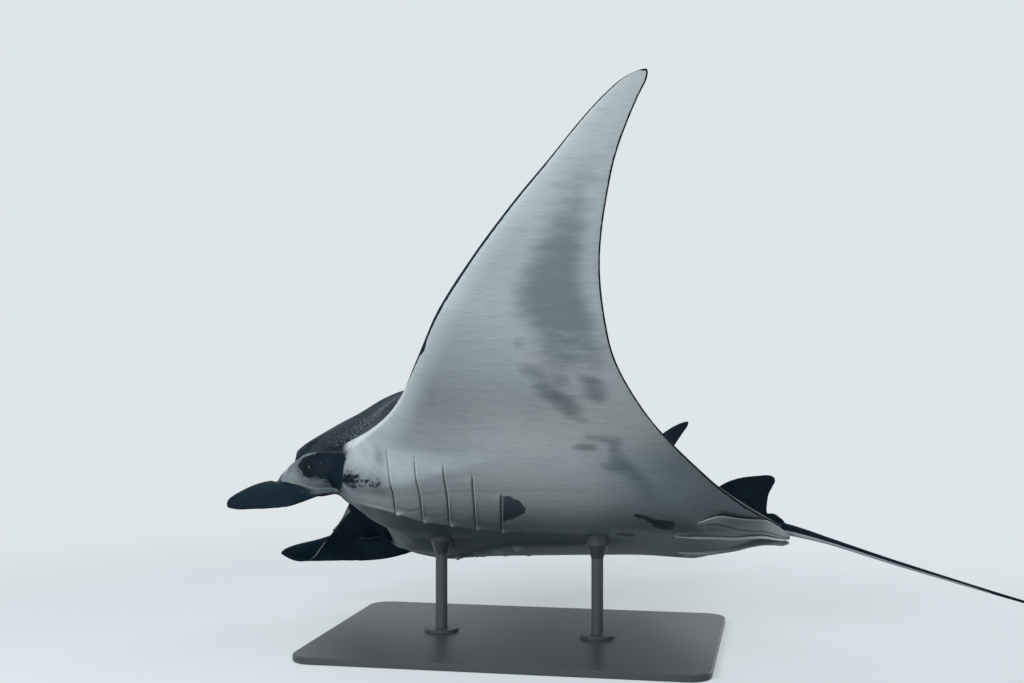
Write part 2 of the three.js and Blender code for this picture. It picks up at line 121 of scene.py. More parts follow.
# %% Curve helpers
def curve_through(*knots, unit=0.001):
    """Monotone cubic through knots, given as position, value, position, value and so on, in thousandths of the disc
    width (values in another unit if one is given). Each inner slope is the harmonic mean of its neighbours'."""
    place, value = np.reshape(knots, (-1, 2)).T * [[0.001], [unit]]
    rise = np.diff(value) / np.diff(place)
    product, total = rise[:-1] * rise[1:], rise[:-1] + rise[1:]
    inner = np.where(product > 0, 2 * product / np.where(total == 0, 1, total), 0)
    slope = np.concatenate([rise[:1], inner, rise[-1:]])

    def at(position):
        p = np.clip(position, place[0], place[-1])
        i = np.clip(np.searchsorted(place, p) - 1, 0, len(place) - 2)
        width = place[i + 1] - place[i]
        t = (p - place[i]) / width
        ends = (1 + 2 * t) * (1 - t) ** 2 * value[i] + t * t * (3 - 2 * t) * value[i + 1]
        return ends + width * (t * (1 - t) ** 2 * slope[i] - t * t * (1 - t) * slope[i + 1])

    return at


def ramp(low, high, value):
    """0 below low, 1 above high, and an S-shaped cubic between them. With low above high it falls instead."""
    t = np.clip((value - low) / (high - low), 0, 1)
    return t * t * (3 - 2 * t)


def bump(distance, reach):
    """Bell curve: 1 at distance 0, falling to 1/e at reach."""
    return np.exp(-(distance / reach) ** 2)


def rounding(distance, reach, power):
    """Rounded rise from 0 at an edge to 1 at reach inside it; power 2 is a quarter circle."""
    t = 1 - np.clip(distance / reach, 0, 1)
    return (1 - t ** power) ** (1 / power)


print("a smooth step, a quarter of the way along:", ramp(0, 1, 0.25))

# %% [markdown]
# ## The body's lines
# These curves are the animal's plan and profile: the wing's two edges, how steeply the wing bends upwards, the
# height of the back and the depth of the belly along the backbone, and the lines of mouth, gills and keel. A
# sculptor would carve them by eye. As curves they can be checked one by one against known proportions.

# %% The body's lines
WING_FRONT = (108, -18,  114, -42,  150, -84,  200, -116.5,  235, -131.5,  270, -146.5,  300, -159.8,  350, -190.5,
              400, -226.8,  434, -254.5,  460, -274.5,  480, -291.5,  490, -301.5,  500, -312.5)
leading_edge = curve_through(0, 33,  50, 21,  68, 8,  80, -3,  84.5, -4.5,  90, 17.2,  100, 7, *WING_FRONT)
smooth_front = curve_through(0, 33,  50, 21,  68, 9.5,  84, 3.5,  100, -3, *WING_FRONT)
trailing_edge = curve_through(0, -454,  30, -436,  100, -389,  200, -329,  280, -301,  350, -294,  420, -301,
    480, -318.5,  490, -323,  500, -327.2)
bend_slope = curve_through(0, 0,  45, 2.5,  100, 14.5,  200, 20.5,  300, 35.6,  400, 48.5,  500, 68.4, unit=1)
BEND_TWIST, RIGHT_BEND = -0.161, 0.871          # change of bend along the chord, and the right wing's share of it
TIP, TIP_START = 0.5, 0.488                     # reach of the wing's tip, and where its rounding starts
back_height = curve_through(-454, 12,  -400, 26,  -300, 55,  -200, 83,  -130, 98.5,  -90, 97,  -60, 85.5,
    -30, 62.5,  0, 44.5,  34, 34)
belly_depth = curve_through(-454, 9,  -400, 19,  -360, 23.5,  -320, 24,  -270, 28,  -200, 34.5,  -160, 38.5,
    -114, 44.5,  -80, 47,  -60.6, 43.7,  -49, 38.5,  -38, 33.3,  -25, 37,  -10, 39,  20, 41)
belly_spread = curve_through(-250, 140,  -160, 145,  -80, 162,  -40, 190,  20, 220)
rim_height = curve_through(-46, 0,  -22, -5,  -8, -8.5,  3, -16.5,  19, -32)
wing_half_thickness = curve_through(0, 0,  100, 11,  150, 12.5,  200, 10.5,  300, 7.2,  400, 4.5,  500, 1.6)
back_spread = curve_through(-450, 90,  -360, 100,  -260, 130,  0, 130)
RIM_MIDDLE = 0.0065                             # height of the front rim on the midline
HEAD_HALF_WIDTH, HEAD_LENGTH, HEAD_MIDDLE = 0.108, 0.08, -0.045
EYE = np.array([-0.0155, 0.1035, -0.0105])
EYE_OPENING = np.array([17, 26])                # half width and half height of the gap between the lids, in mm
GILL_COUNT = 5
print("chord on the midline and at half span, m:",
      [round(float(leading_edge(r) - trailing_edge(r)) * DISC_WIDTH, 3) for r in (0, 0.25)])

# %% [markdown]
# ## Gills, lip and keel
# Under the head five pairs of gill slits open, each a long cut with a lip of skin behind it, and a low keel runs
# where their inner ends stop. They could be cut in as knife strokes. Here each slit is a line with a place for
# every distance from the backbone, so that the same line shapes the relief, the grid and the crease's painted shade.

# %% Gills, lip and keel
def gill_share(i, reach):
    """How far along gill slit i a distance out from the backbone lies: 0 at its outer end, 1 at its inner end."""
    outer, inner = 0.141 - 0.00057 * i ** 3, 0.0835 - 0.0113 * i
    return (outer - reach) / (outer - inner)


def gill_line(i, share):
    """Place of gill slit i along the backbone: straight between its ends, with a shallow bow towards the tail."""
    outer, inner = -0.096 - 0.0285 * i + 0.0006 * i * i, -0.101 - 0.0232 * i + 0.0002 * i * i
    held = np.clip(share, 0, 1)
    return outer + (inner - outer) * held - (0.0038 - 0.0007 * i) * np.sin(np.pi * held) ** 1.5


lip_place = curve_through(0, -54.5,  43, -60.2,  61, -60,  74.5, -54,  86, -42.5)
lip_height = curve_through(0, -22.5,  43, -31.4,  61, -35.4,  74.5, -34.1,  86, -27.5)
keel_line = curve_through(-300, 20,  -250, 29,  -190, 38,  -169, 47.5,  -124, 72,  -101, 83.5,  -80, 87,
    -50, 87)


def fold_between(share, behind, width):
    """Nearness to the slack fold that sags from one slit to the next, close to their inner ends."""
    sag = bump(share - 0.8 - 0.12 * np.sin(np.pi * behind / 125), width)
    return sag * ramp(3, 15, behind) * ramp(115, 95, behind)


def keel_share(x):
    """Part of the backbone along which the keel stands: 1 from the gills to the hip, 0 at throat and tail."""
    return ramp(-0.285, -0.215, x) * ramp(-0.062, -0.075, x)


print("outer ends of the gill slits, m behind the origin:",
      [round(float(-gill_line(i, 0.0)) * DISC_WIDTH, 3) for i in range(GILL_COUNT)])

# %% [markdown]
# ## The disc's surface
# Head, trunk and wings are one flat fish-like disc, bent upwards like a sheet of rubber. Subdivision modelling
# could block it out. Here it is a height over a bent sheet, worked out for any place on the disc, so edges stay
# thin, the wing bends without stretching and the gills lie exactly where they should.

# %% The disc's surface
def bent(out, x, lift):
    """Bends the flat disc: walks out along the skin in small steps at the wing's slope, then rises square to it."""
    side, reach = np.where(out < 0, -1.0, 1.0), np.abs(out)
    strength = (1 + BEND_TWIST * (x + 0.2) / 0.2) * np.where(out < 0, RIGHT_BEND, 1)
    steps, y, z = 24, 0, 0                      # strips of the walk, each straight
    for i in range(steps):
        angle = np.radians(bend_slope(reach * (i + 0.5) / steps)) * strength
        y, z = y + np.cos(angle) * reach / steps, z + np.sin(angle) * reach / steps
    end = np.radians(bend_slope(reach)) * strength
    return np.stack(np.broadcast_arrays(x, side * (y - lift * np.sin(end)), z + lift * np.cos(end)), -1)


def tip_squeeze(reach):
    """How far the chord has shrunk towards the apex of the wing tip: a quarter of an ellipse."""
    return np.sqrt(np.maximum(1 - np.clip((reach - TIP_START) / (TIP - TIP_START), 0, 1) ** 2, 1e-4))


def tip_apex(front, rear):
    """Place of the tip's apex, near the trailing edge."""
    return rear + 0.36 * (front - rear)


def distance_to(edge, reach, x):
    """Distance in the flat disc from each place to an edge: the least over short straight pieces of the edge."""
    knots = np.concatenate([np.linspace(0, 0.084, 15), np.linspace(0.086, 0.12, 35), np.linspace(0.13, 0.5, 60)])
    place = np.stack(np.broadcast_arrays(reach, x), -1)
    least = np.full(place.shape[:-1], np.inf)
    for a, b in zip(knots[:-1], knots[1:]):
        start, run = np.array([a, edge(a)]), np.array([b - a, edge(b) - edge(a)])
        t = np.clip((place - start) @ run / (run @ run), 0, 1)
        least = np.minimum(least, np.hypot(*np.moveaxis(place - start - t[..., None] * run, -1, 0)))
    return least


def head_dome(reach, x):
    """Share of the back's height that the rounded top of the head has at a place."""
    outward = np.hypot(np.maximum(x - HEAD_MIDDLE, 0) / HEAD_LENGTH, reach / HEAD_HALF_WIDTH)
    return rounding(1 - outward, 0.45, 1.65)


def gill_relief(reach, x):
    """Height added to the belly: each slit a groove with a lip behind it, and a keel where their inner ends stop."""
    relief = 0
    for i in range(GILL_COUNT):
        share = gill_share(i, reach)
        behind = (gill_line(i, share) - x) / MM
        held = ramp(-0.02, 0.05, share) * ramp(1.04, 0.97, share)
        lip = bump(behind - 7, 4.5) * (0.6 + 0.4 * np.sin(9 * share + i))
        flap = bump(behind - 12, 10) * bump(share - 0.99, 0.05)
        relief = relief + held * (11 * bump(behind, 2.3) - 3.2 * lip) - 8 * flap
        if i < GILL_COUNT - 1:
            relief = relief + 1.8 * fold_between(share, behind, 0.02)
    inside = (keel_line(x) - reach) / MM
    hollow = ramp(0, 30, inside) * (1 - 0.75 * ramp(45, 200, inside))
    return (relief + keel_share(x) * (11 * hollow - 3 * bump(inside + 8, 7))) * MM


def throat_limit(out, x, lift):
    """Lets the throat rise to a thin lower lip: a soft minimum of the belly's depth and of a curve from the lip."""
    reach = np.abs(out)
    behind_lip = np.maximum(lip_place(reach) - x, 0)
    deepest = lip_height(reach) - 0.0018 - 0.022 * (1 - np.exp(-behind_lip / 0.017)) - 0.06 * ramp(
        0.082, 0.1, reach) - 0.05 * ramp(0.03, 0.06, behind_lip)
    limit = deepest - bent(out, x, 0 * x)[..., 2]
    return (lift + limit + np.sqrt((lift - limit) ** 2 + 0.002 ** 2)) / 2


def skin_lift(out, x, on_back):
    """Height of the skin off the disc's middle sheet: rim, plus the body's dome, plus the wing's own thickness."""
    reach = np.abs(out)
    front, rear = leading_edge(reach), trailing_edge(reach)
    from_front, from_rear = distance_to(leading_edge, reach, x), distance_to(trailing_edge, reach, x)
    wing_front = np.minimum(front, -0.02)
    along = np.clip((wing_front - x) / (wing_front - rear), 0, 1)
    wing_share = ramp(0.104, 0.15, reach)
    edge_reach = 0.02 + 0.08 * wing_share
    start_power = 2 if on_back else 2.6
    front_rise = rounding(from_front, edge_reach, start_power + (1.25 - start_power) * wing_share)
    rear_rise = rounding(from_rear, 0.05 if on_back else 0.035, 1.3)
    if on_back:
        dome_share = ramp(-0.09, -0.04, x)
        front_rise = front_rise + (head_dome(reach, x) - front_rise) * dome_share
    softer = np.minimum(from_front, 0.018)
    corner = ramp(0.085 - softer, 0.088 + softer, reach)
    rim = (RIM_MIDDLE + (rim_height(x) - RIM_MIDDLE) * corner) * ramp(0.13, 0.104, reach)
    rim = rim * ramp(-0.43, -0.34, x)
    body = (back_height(x) * np.exp(-(reach / back_spread(x)) ** 2.5) if on_back
            else -belly_depth(x) * np.exp(-(reach / belly_spread(x)) ** 4))
    wing = wing_half_thickness(reach) * (0.22 + 0.78 * (1 - along))
    wing = wing * rounding(from_front, 0.02, 2) * rounding(from_rear, 0.012, 2)
    into_head = 0.85 * ramp(-0.08, -0.035, x) if on_back else 0.9 * ramp(-0.125, -0.055, x)
    wing = wing * (1 - into_head) * rounding(TIP - reach, 0.012, 2)
    lift = rim + (body - rim) * front_rise * rear_rise + (wing if on_back else -wing)
    return lift if on_back else throat_limit(out, x, lift) + gill_relief(reach, x)


top, bottom = (float(skin_lift(np.zeros(1), -0.2, on_back)[0]) for on_back in (True, False))
print("thickness of the trunk behind the gills, m:", round((top - bottom) * DISC_WIDTH, 3))

# %% [markdown]
# ## The grid
# The disc is a sheet folded at its front edge: a grid of stations from wing tip to wing tip, and of lines from
# the front edge to the rear edge, once over the back and once under the belly. An even grid would need ten times
# the points to show a slit. This one crowds its lines at the edges, round the eyes and along the gill slits.

# %% Stations and lines
def joined(*runs):
    """Several runs of numbers as one, with the shared ends kept once."""
    return np.concatenate([run[:-1] for run in runs[:-1]] + [runs[-1]])


half_stations = joined(
    np.linspace(0, 0.03, 6), np.linspace(0.03, 0.084, 24), np.linspace(0.084, 0.09, 8), np.linspace(0.09, 0.118, 33),
    np.linspace(0.118, 0.17, 16), np.linspace(0.17, TIP_START, 34),
    TIP_START + (TIP - TIP_START) * np.sin(np.linspace(0, np.pi / 2, 8)))
out_stations = np.concatenate([-half_stations[:0:-1], half_stations])
GILL_ZONE = (-0.09, -0.218)


def zone_edges(reach):
    """Where the three zones of lines meet: head, gills and rear."""
    front, rear = leading_edge(reach), trailing_edge(reach)
    return (front, np.minimum(GILL_ZONE[0], front - np.minimum(0.012, 0.3 * (front - rear))),
            np.minimum(GILL_ZONE[1], front - 0.5 * (front - rear)), rear)


def gill_zone_lines(gills, rear_zone, reach):
    """Lines under the gills: close ones beside each slit, wider ones between; out on the wing they spread evenly."""
    beside = np.array([-9, -4.5, -2.6, -1.3, 0, 1.3, 2.6, 4.5, 7, 10, 14, 20])[None] * MM
    rows, last = [], gills
    for i in range(GILL_COUNT):
        slit = gill_line(i, gill_share(i, reach))
        between = np.linspace(0, 1, 7 if i else 3)[None, :-1]
        rows += [last + (slit - beside[:, :1] - last) * between, slit - beside[:, :-1]]
        last = slit - beside[:, -1:]
    rows.append(last + (rear_zone - last) * np.linspace(0, 1, 4)[None, :-1])
    close = np.concatenate(rows, 1)
    even = gills + (rear_zone - gills) * np.linspace(0, 1, close.shape[1] + 1)[None, :-1]
    x = even + (close - even) * ramp(0.175, 0.142, reach)
    step = 0.3 * MM * np.arange(x.shape[1])[None] * ramp(0.2, 0.175, reach)
    return np.minimum.accumulate(x + step, 1) - step


def sheet(on_back):
    """Grid of (out, x) for the back or the belly: rows are stations, columns run from front to rear."""
    reach = np.abs(out_stations)[:, None]
    front, gills, rear_zone, rear = zone_edges(reach)
    even_front = smooth_front(reach)
    apex, squeeze = tip_apex(front, rear), tip_squeeze(reach)
    row = np.linspace(0, 1, 52 if on_back else 48)[None, :-1]
    lead = even_front + (gills - even_front) * row ** 1.7 + (front - even_front) * ramp(0.3, 0, row)
    rest = 1 - (1 - np.linspace(0, 1, 34)[None]) ** 1.6
    zone = (gills + (rear_zone - gills) * np.linspace(0, 1, 16)[None, :-1] if on_back
            else gill_zone_lines(gills, rear_zone, reach))
    x = np.concatenate([lead, zone, rear_zone + (rear - rear_zone) * rest], 1)
    x = apex + (x - apex) * squeeze
    return np.broadcast_to(out_stations[:, None], x.shape), x


back_out, back_x = sheet(True)
belly_out, belly_x = sheet(False)
print("stations", len(out_stations), "lines over the back", back_x.shape[1], "under the belly", belly_x.shape[1])

# %% [markdown]
# ## Making closed meshes
# Every part of the animal starts as a closed mesh of its own: rings of points joined in order, with a flat face
# over the first and the last ring. Blender's own cylinders and spheres could be bent into shape, but a loft takes
# any section. The disc is one such loft, whose rings run over the back and under the belly.

# %% Mesh helpers
# One of these marks holds painted highlights on the rolled edges of the cephalic fins and on the ridges of the pelvic
# fins, and painted shade in the pelvic furrows.
SKIN_MARKS = ("out", "upper", "shade", "rear", "trim", "seam")


def keep_mark(mesh, name, values):
    """Stores one number per point on a mesh."""
    mesh.attributes.new(name, "FLOAT", "POINT").data.foreach_set("value", values.astype(np.float32).ravel())


def loft(name, rings, **marks):
    """Closed mesh through rings, shaped (ring, point, xyz) in the animal's axes; marks become point attributes."""
    count, size = rings.shape[:2]
    index = np.arange(count * size).reshape(count, size)
    a, b = index[:-1], np.roll(index, -1, 1)[:-1]
    c, d = np.roll(index, -1, 1)[1:], index[1:]
    quads = np.stack([a, b, c, d], -1).reshape(-1, 4)
    corners = np.concatenate([quads.ravel(), index[0, ::-1], index[-1]])
    starts = np.concatenate([np.arange(len(quads)) * 4, [len(quads) * 4, len(quads) * 4 + size]])
    mesh = bpy.data.meshes.new(name)
    mesh.vertices.add(count * size)
    mesh.vertices.foreach_set("co", in_room(rings.reshape(-1, 3)).ravel())
    mesh.loops.add(len(corners))
    mesh.loops.foreach_set("vertex_index", corners)
    mesh.polygons.add(len(starts))
    mesh.polygons.foreach_set("loop_start", starts)
    mesh.update(calc_edges=True)
    for mark, value in {**dict.fromkeys(SKIN_MARKS, 0), **marks}.items():
        keep_mark(mesh, mark, np.broadcast_to(value, (count, size)))
    work = bmesh.new()
    work.from_mesh(mesh)
    if work.calc_volume(signed=True) < 0:
        bmesh.ops.reverse_faces(work, faces=work.faces)
    work.to_mesh(mesh)
    work.free()
    return placed(name, mesh)


def read(items, field, width=1, kind=np.float32):
    """One field of a mesh's points, edges or attribute values as an array, a row of the given width for each."""
    flat = np.empty(len(items) * width, kind)
    items.foreach_get(field, flat)
    return flat.reshape(-1, width) if width > 1 else flat


def points_of(mesh):
    """All vertex places of a mesh as an array, in the room."""
    return read(mesh.vertices, "co", 3).astype(float)


def mark_of(mesh, name):
    """A point attribute of a mesh as an array."""
    return read(mesh.attributes[name].data, "value").astype(float)


print("marks that every mesh carries:", SKIN_MARKS)

# %% [markdown]
# ## Head, trunk and wings
# The two sheets are bent, given their height and joined at the front edge into one closed form. Trunk and wings
# could be separate, but on the animal they are one. Each point keeps its distance out along the skin and whether
# it is on the back, because the markings are drawn from those later.

# %% Head, trunk and wings
back = bent(back_out, back_x, skin_lift(back_out, back_x, True))
belly = bent(belly_out, belly_x, skin_lift(belly_out, belly_x, False))
disc_rings = np.concatenate([back, belly[:, -2:0:-1]], 1)
disc_out = np.broadcast_to(out_stations[:, None], disc_rings.shape[:2])
disc_back = np.concatenate([np.ones(back.shape[1]), np.zeros(belly.shape[1] - 2)])[None]
disc_back[:, [0, back.shape[1] - 1]] = 0.5
skin = loft("manta_skin", disc_rings, out=disc_out, upper=disc_back)
print("disc:", len(skin.data.vertices), "points")

# %% [markdown]
# ## Cephalic fins
# Beside the mouth hang two fins that scoop food, each a thick sheet rolled like a paper cone. Its lowest line is
# the fold, and its inner edge comes down slantwise. A plane could be bent by hand. Three curves in space, with a
# parabola across them at every place, give the same roll with few numbers.

# %% Cephalic fins
def curve_in_space(points, t):
    """Centripetal Catmull-Rom curve through points in thousandths, read at shares t of its length in knots."""
    p = np.array(points) / 1000
    p = np.concatenate([[2 * p[0] - p[1]], p, [2 * p[-1] - p[-2]]])
    place = np.clip(t, 0, 1) * (len(p) - 3)
    i = np.minimum(place.astype(int), len(p) - 4)
    w = (place - i)[..., None]
    step = np.sqrt(np.linalg.norm(np.diff(p, axis=0), axis=1))[:, None]
    a, b, c, d = p[i], p[i + 1], p[i + 2], p[i + 3]
    before, here, after = step[i], step[i + 1], step[i + 2]
    leave = ((b - a) / before - (c - a) / (before + here) + (c - b) / here) * here
    arrive = ((c - b) / here - (d - b) / (here + after) + (d - c) / after) * here
    return (b + w * leave + w ** 2 * (3 * (c - b) - 2 * leave - arrive) + w ** 3 * (2 * (b - c) + leave + arrive))


FIN_OUTER = {
    1: [(-46, 97, -27), (-26, 104.5, -32.5), (-6, 103.5, -28), (13, 99, -23.5), (36, 95.5, -28),
        (55, 93, -38.2), (67.4, 88.5, -46.2)],
    -1: [(-46, 97, -27), (-26, 104.5, -32.5), (-6, 104.5, -29.5), (12, 100, -28.5), (34.5, 95.5, -38),
         (55, 94.5, -45.5), (69.2, 91.5, -53.8)]}
FIN_FOLD = {
    1: [(-47, 97, -26.2), (-29, 104, -34), (-5.3, 113, -48.5), (16, 112, -53.8), (37, 104, -53.8),
        (53, 95, -52.9), (64.3, 88, -51.5)],
    -1: [(-85, 94, -34), (-60, 99, -42.2), (-36, 105, -47.3), (-10, 110, -51.1), (18, 109.5, -55.2),
         (41.5, 105, -58.8), (57, 96, -60.2), (67.5, 90.5, -57.2)]}
FIN_INNER = {
    1: [(-50, 95, -26.5), (-30, 88, -16), (-7, 88.5, -1), (10, 90, -20.5), (23.5, 93, -39.5), (37, 99, -50.5),
        (65.5, 86.5, -49)],
    -1: [(-50, 96, -27), (-30, 88, -16), (-7, 88.5, 0.5), (9.8, 90, -20.5), (23.2, 92, -41), (36.5, 99, -58.5),
         (67, 90, -55.5)]}
FIN_HALF_THICKNESS = 0.001


def cephalic_fin(side):
    """Sheet between three curves, a parabola across them at each place along, thickened square to itself."""
    curves = [FIN_OUTER[side], FIN_FOLD[side], FIN_INNER[side]]
    along, across = np.linspace(0, 1, 72), np.linspace(0, 1, 30)
    t, r = along[:, None] + 0 * across, across[None] + 0 * along[:, None]
    a, b, c = (curve_in_space(curve, t) for curve in curves)
    control = 2 * b - (a + c) / 2
    r = r[..., None]
    middle = (1 - r) ** 2 * a + 2 * r * (1 - r) * control + r ** 2 * c
    spine = middle[:, 14:15]                    # the line half way across, to which the tip draws in
    middle = spine + (middle - spine) * (0.1 + 0.9 * rounding(1 - along, 0.07, 2))[:, None, None]
    square = np.cross(np.gradient(middle, axis=1), np.gradient(middle, axis=0))
    square /= np.linalg.norm(square, axis=-1, keepdims=True)
    edge = rounding(np.minimum(across, 1 - across), 0.08, 2)[None] * rounding(1 - along, 0.05, 2)[:, None]
    half = FIN_HALF_THICKNESS * (0.12 + 0.88 * edge) * (1.3 - 0.7 * ramp(0, 0.7, along))[:, None]
    rings = np.concatenate([middle + square * half[..., None], (middle - square * half[..., None])[:, ::-1]], 1)
    # Painted highlight along both edges of the roll, part way along the fin.
    shown = ramp(0.61, 0.67, along) * ramp(0.87, 0.83, along)
    trim = np.concatenate([across, across[::-1]])[None] ** 12 * shown[:, None]
    return loft(f"cephalic_fin_{side}", rings * [1, side, 1], shade=1, trim=trim)


additions = [cephalic_fin(1), cephalic_fin(-1)]
print("cephalic fins:", [len(fin.data.vertices) for fin in additions], "points")

# %% [markdown]
# ## Dorsal fin
# A small upright fin stands where the tail begins. It could be a plane with thickness. It is a stack of level
# slices, each a lens, because a closed form can be joined to the body without a seam.

# %% Dorsal fin
def dorsal_fin():
    """Level slices, each a lens from the fin's front edge to its rear edge, rounded off at the top."""
    front_at = curve_through(0, -345,  20, -368,  30, -382,  40, -395,  46, -409,  50.5, -431)
    rear_at = curve_through(0, -440,  10, -436,  20, -434.5,  30, -435,  40, -438.5,  45.5, -440.5,
        48.8, -439.5,  50.5, -436)
    height = 0.004 + 0.0465 * np.sin(np.linspace(0, np.pi / 2, 34))[:, None]
    turn = np.linspace(0, 2 * np.pi, 64, endpoint=False)[None]
    along = (1 - np.cos(turn)) / 2
    half = 0.0035 * (1.15 - 0.75 * height / 0.05) * np.sqrt(1 - (np.maximum(height - 0.046, 0) / 0.0047) ** 2)
    x = front_at(height) + (rear_at(height) - front_at(height)) * along
    y = half * np.sin(turn) * (1.3 - 0.7 * along)
    return loft("dorsal_fin", np.stack([x, y, height + 0 * x], -1), upper=1, shade=1)


additions.append(dorsal_fin())
print("dorsal fin:", len(additions[-1].data.vertices), "points")

# %% [markdown]
# ## Pelvic fins
# Under the root of the tail lie two leafy lobes with furrows along them. Furrows could be sculpted with a brush.
# Here they are narrow bells across a closed plate, and the same bells later paint shade into the furrows.

# %% Pelvic fins
lobe_outer_y = curve_through(-460, 10.2,  -457, 14,  -447, 22.5,  -436, 31,  -422.5, 43.5,  -409, 56,  -396, 68,
    -388, 72,  -376, 70,  -362, 55,  -352, 40)
lobe_outer_z = curve_through(-460, -11.2,  -457, -8.8,  -447, -4.5,  -436, -1.5,  -422.5, -5,  -409, -8,
    -396, -10.5,  -388, -13.5,  -376, -18.5,  -362, -22.5,  -352, -23.8)
lobe_lip_y = curve_through(-460, 9.5,  -447, 8.5,  -436, 11,  -422.5, 14.5,  -409, 19.5,  -393, 26.5,
    -376, 32.5,  -352, 34)
lobe_lip_z = curve_through(-460, -12.2,  -447, -12.8,  -436, -13.2,  -422.5, -15.5,  -409, -19.2,  -393, -21.8,
    -376, -24,  -352, -24.6)


def pelvic_fin(side):
    """Leaf-shaped plate under the root of the tail, from a lip by the midline (across 0) to a free edge (across 1).

    Its lower face bulges and has furrows along it, each a narrow bell; its upper face lies inside the body.
    """
    x = np.linspace(-0.4578, -0.352, 76)[:, None]
    across = np.linspace(0, 1, 44)[None]
    run_y, run_z = lobe_outer_y(x) - lobe_lip_y(x), lobe_outer_z(x) - lobe_lip_z(x)
    length = np.hypot(run_y, run_z)
    down_y, down_z = run_z / length, -run_y / length
    full = np.minimum(1, length / 0.012) * ramp(-0.4585, -0.452, x)
    bulge = full * 0.0016 * np.sin(np.pi * across ** 0.8) + 0.0003
    second = 0.62 + 3.6 * (x + 0.4) - 0.1 * np.sin(55 * x)
    furrows = (0.0011 * bump(across - 0.17 + 0.02 * np.sin(90 * x), 0.035) + 0.0009 * bump(across - second, 0.045)
               + 0.0005 * bump(across - second + 0.22, 0.04))
    bulge = bulge - furrows * full + 0.0018 * full * bump(across - 0.07, 0.055)
    thick = full * (0.0006 + 0.0042 * (1 - across) ** 0.7 * ramp(-0.01, 0.1, across)) + 0.0003
    lower = np.stack([x + 0 * across, lobe_lip_y(x) + run_y * across + bulge * down_y,
                      lobe_lip_z(x) + run_z * across + bulge * down_z], -1)
    upper_face = lower - np.stack([0 * thick, thick * down_y, thick * down_z], -1)
    rings = np.concatenate([lower, upper_face[:, ::-1]], 1) * [1, side, 1]
    lit = 1.2 if side == 1 else 0.3             # painted highlight on the lip by the midline: bright on the left fin, faint on the right one, in painted shade
    # Painted highlights on the lip by the midline, the free edge, a glint near its middle and beside a furrow; the
    # furrows take painted shade.
    ridge_highlight = (lit * ramp(0.15, 0.1, across) + 0.75 * ramp(0.93, 0.99, across)
             + 0.9 * bump(np.hypot((x + 0.388) / 0.013, (across - 0.93) / 0.22), 1)
             + 0.3 * bump(across - second - 0.09, 0.04)) * ramp(-0.353, -0.37, x)
    trim = ridge_highlight - 1.6 * furrows / 0.0011
    return loft(f"pelvic_fin_{side}", rings, rear=1, trim=np.concatenate([trim, 0 * trim], 1),
                upper=np.concatenate([0 * across, 0.6 * (across[:, ::-1] > 0.5)], 1))


additions += [pelvic_fin(1), pelvic_fin(-1)]
print("pelvic fins:", [len(fin.data.vertices) for fin in additions[-2:]], "points")

# %% [markdown]
# ## Tail and knob
# The tail is a thin whip that droops and tapers, and the knob at its root hides the stump of the spine. A bevelled
# curve would do for the whip. As rings of points it closes and joins like the other forms.

# %% Tail and knob
KNOB_AT = -0.443
tail_height = curve_through(-800, -71,  -670, -46.5,  -560, -23.2,  -466, -2.2,  -430, 3)
tail_radius = curve_through(-800, 0.6,  -667, 1.3,  -560, 2.4,  -500, 3.2,  -466, 4.9,  -430, 6.8)


def tail():
    """Round whip: circles of the tail's radius along its drooping line, rounded off at the tip."""
    t = np.linspace(0, 1, 150)[:, None]
    x = -0.41 - 0.389 * t
    turn = np.linspace(0, 2 * np.pi, 24, endpoint=False)[None]
    radius = tail_radius(x) * np.sqrt(np.maximum(1 - np.clip((t - 0.997) / 0.003, 0, 1) ** 2, 0.01))
    rings = np.stack([x + 0 * turn, 0.92 * radius * np.sin(turn), tail_height(x) + radius * np.cos(turn)], -1)
    return loft("tail", rings, upper=ramp(-0.75, -0.05, np.cos(turn)), rear=1)


def spine_knob():
    """Low knob behind the dorsal fin: a squashed ball with a few shallow lumps, where the spine's stump is buried."""
    up, turn = np.linspace(0.02, np.pi - 0.02, 26)[:, None], np.linspace(0, 2 * np.pi, 36, endpoint=False)[None]
    lumps = 1 + 0.07 * np.sin(3 * turn + 2 * up) * np.sin(up) + 0.05 * np.sin(5 * up)
    x = KNOB_AT + 0.009 * lumps * np.cos(up)
    y = 0.0042 * lumps * np.sin(up) * np.sin(turn)
    z = 0.0075 + 0.3 * (x - KNOB_AT) + 0.0055 * lumps * np.sin(up) * np.cos(turn)
    return loft("knob", np.stack([x + 0 * turn, y, z], -1), upper=1, shade=1)


additions += [tail(), spine_knob()]
print("all added forms:", [form.name for form in additions])

# %% [markdown]
# ## The mouth
# A manta swims with its mouth open: a wide, flat cave between the palate, the cheeks and the lower lip. Faces
# could be pushed into the head one by one. Instead the cave is cut out with a closed form of its own, whose roof
# and floor carry the curved gill arches, because a cut leaves the lips as sharp as they are.

# %% Mouth
MOUTH_HALF_WIDTH, ROOF, CAVE = 0.085, 0.001, 0.075    # half width, height of the palate, depth of the cave
MOUTH_FRONT, MOUTH_FLOOR = 0.05, -0.08                # the cutting form ends in the open, before and below the head


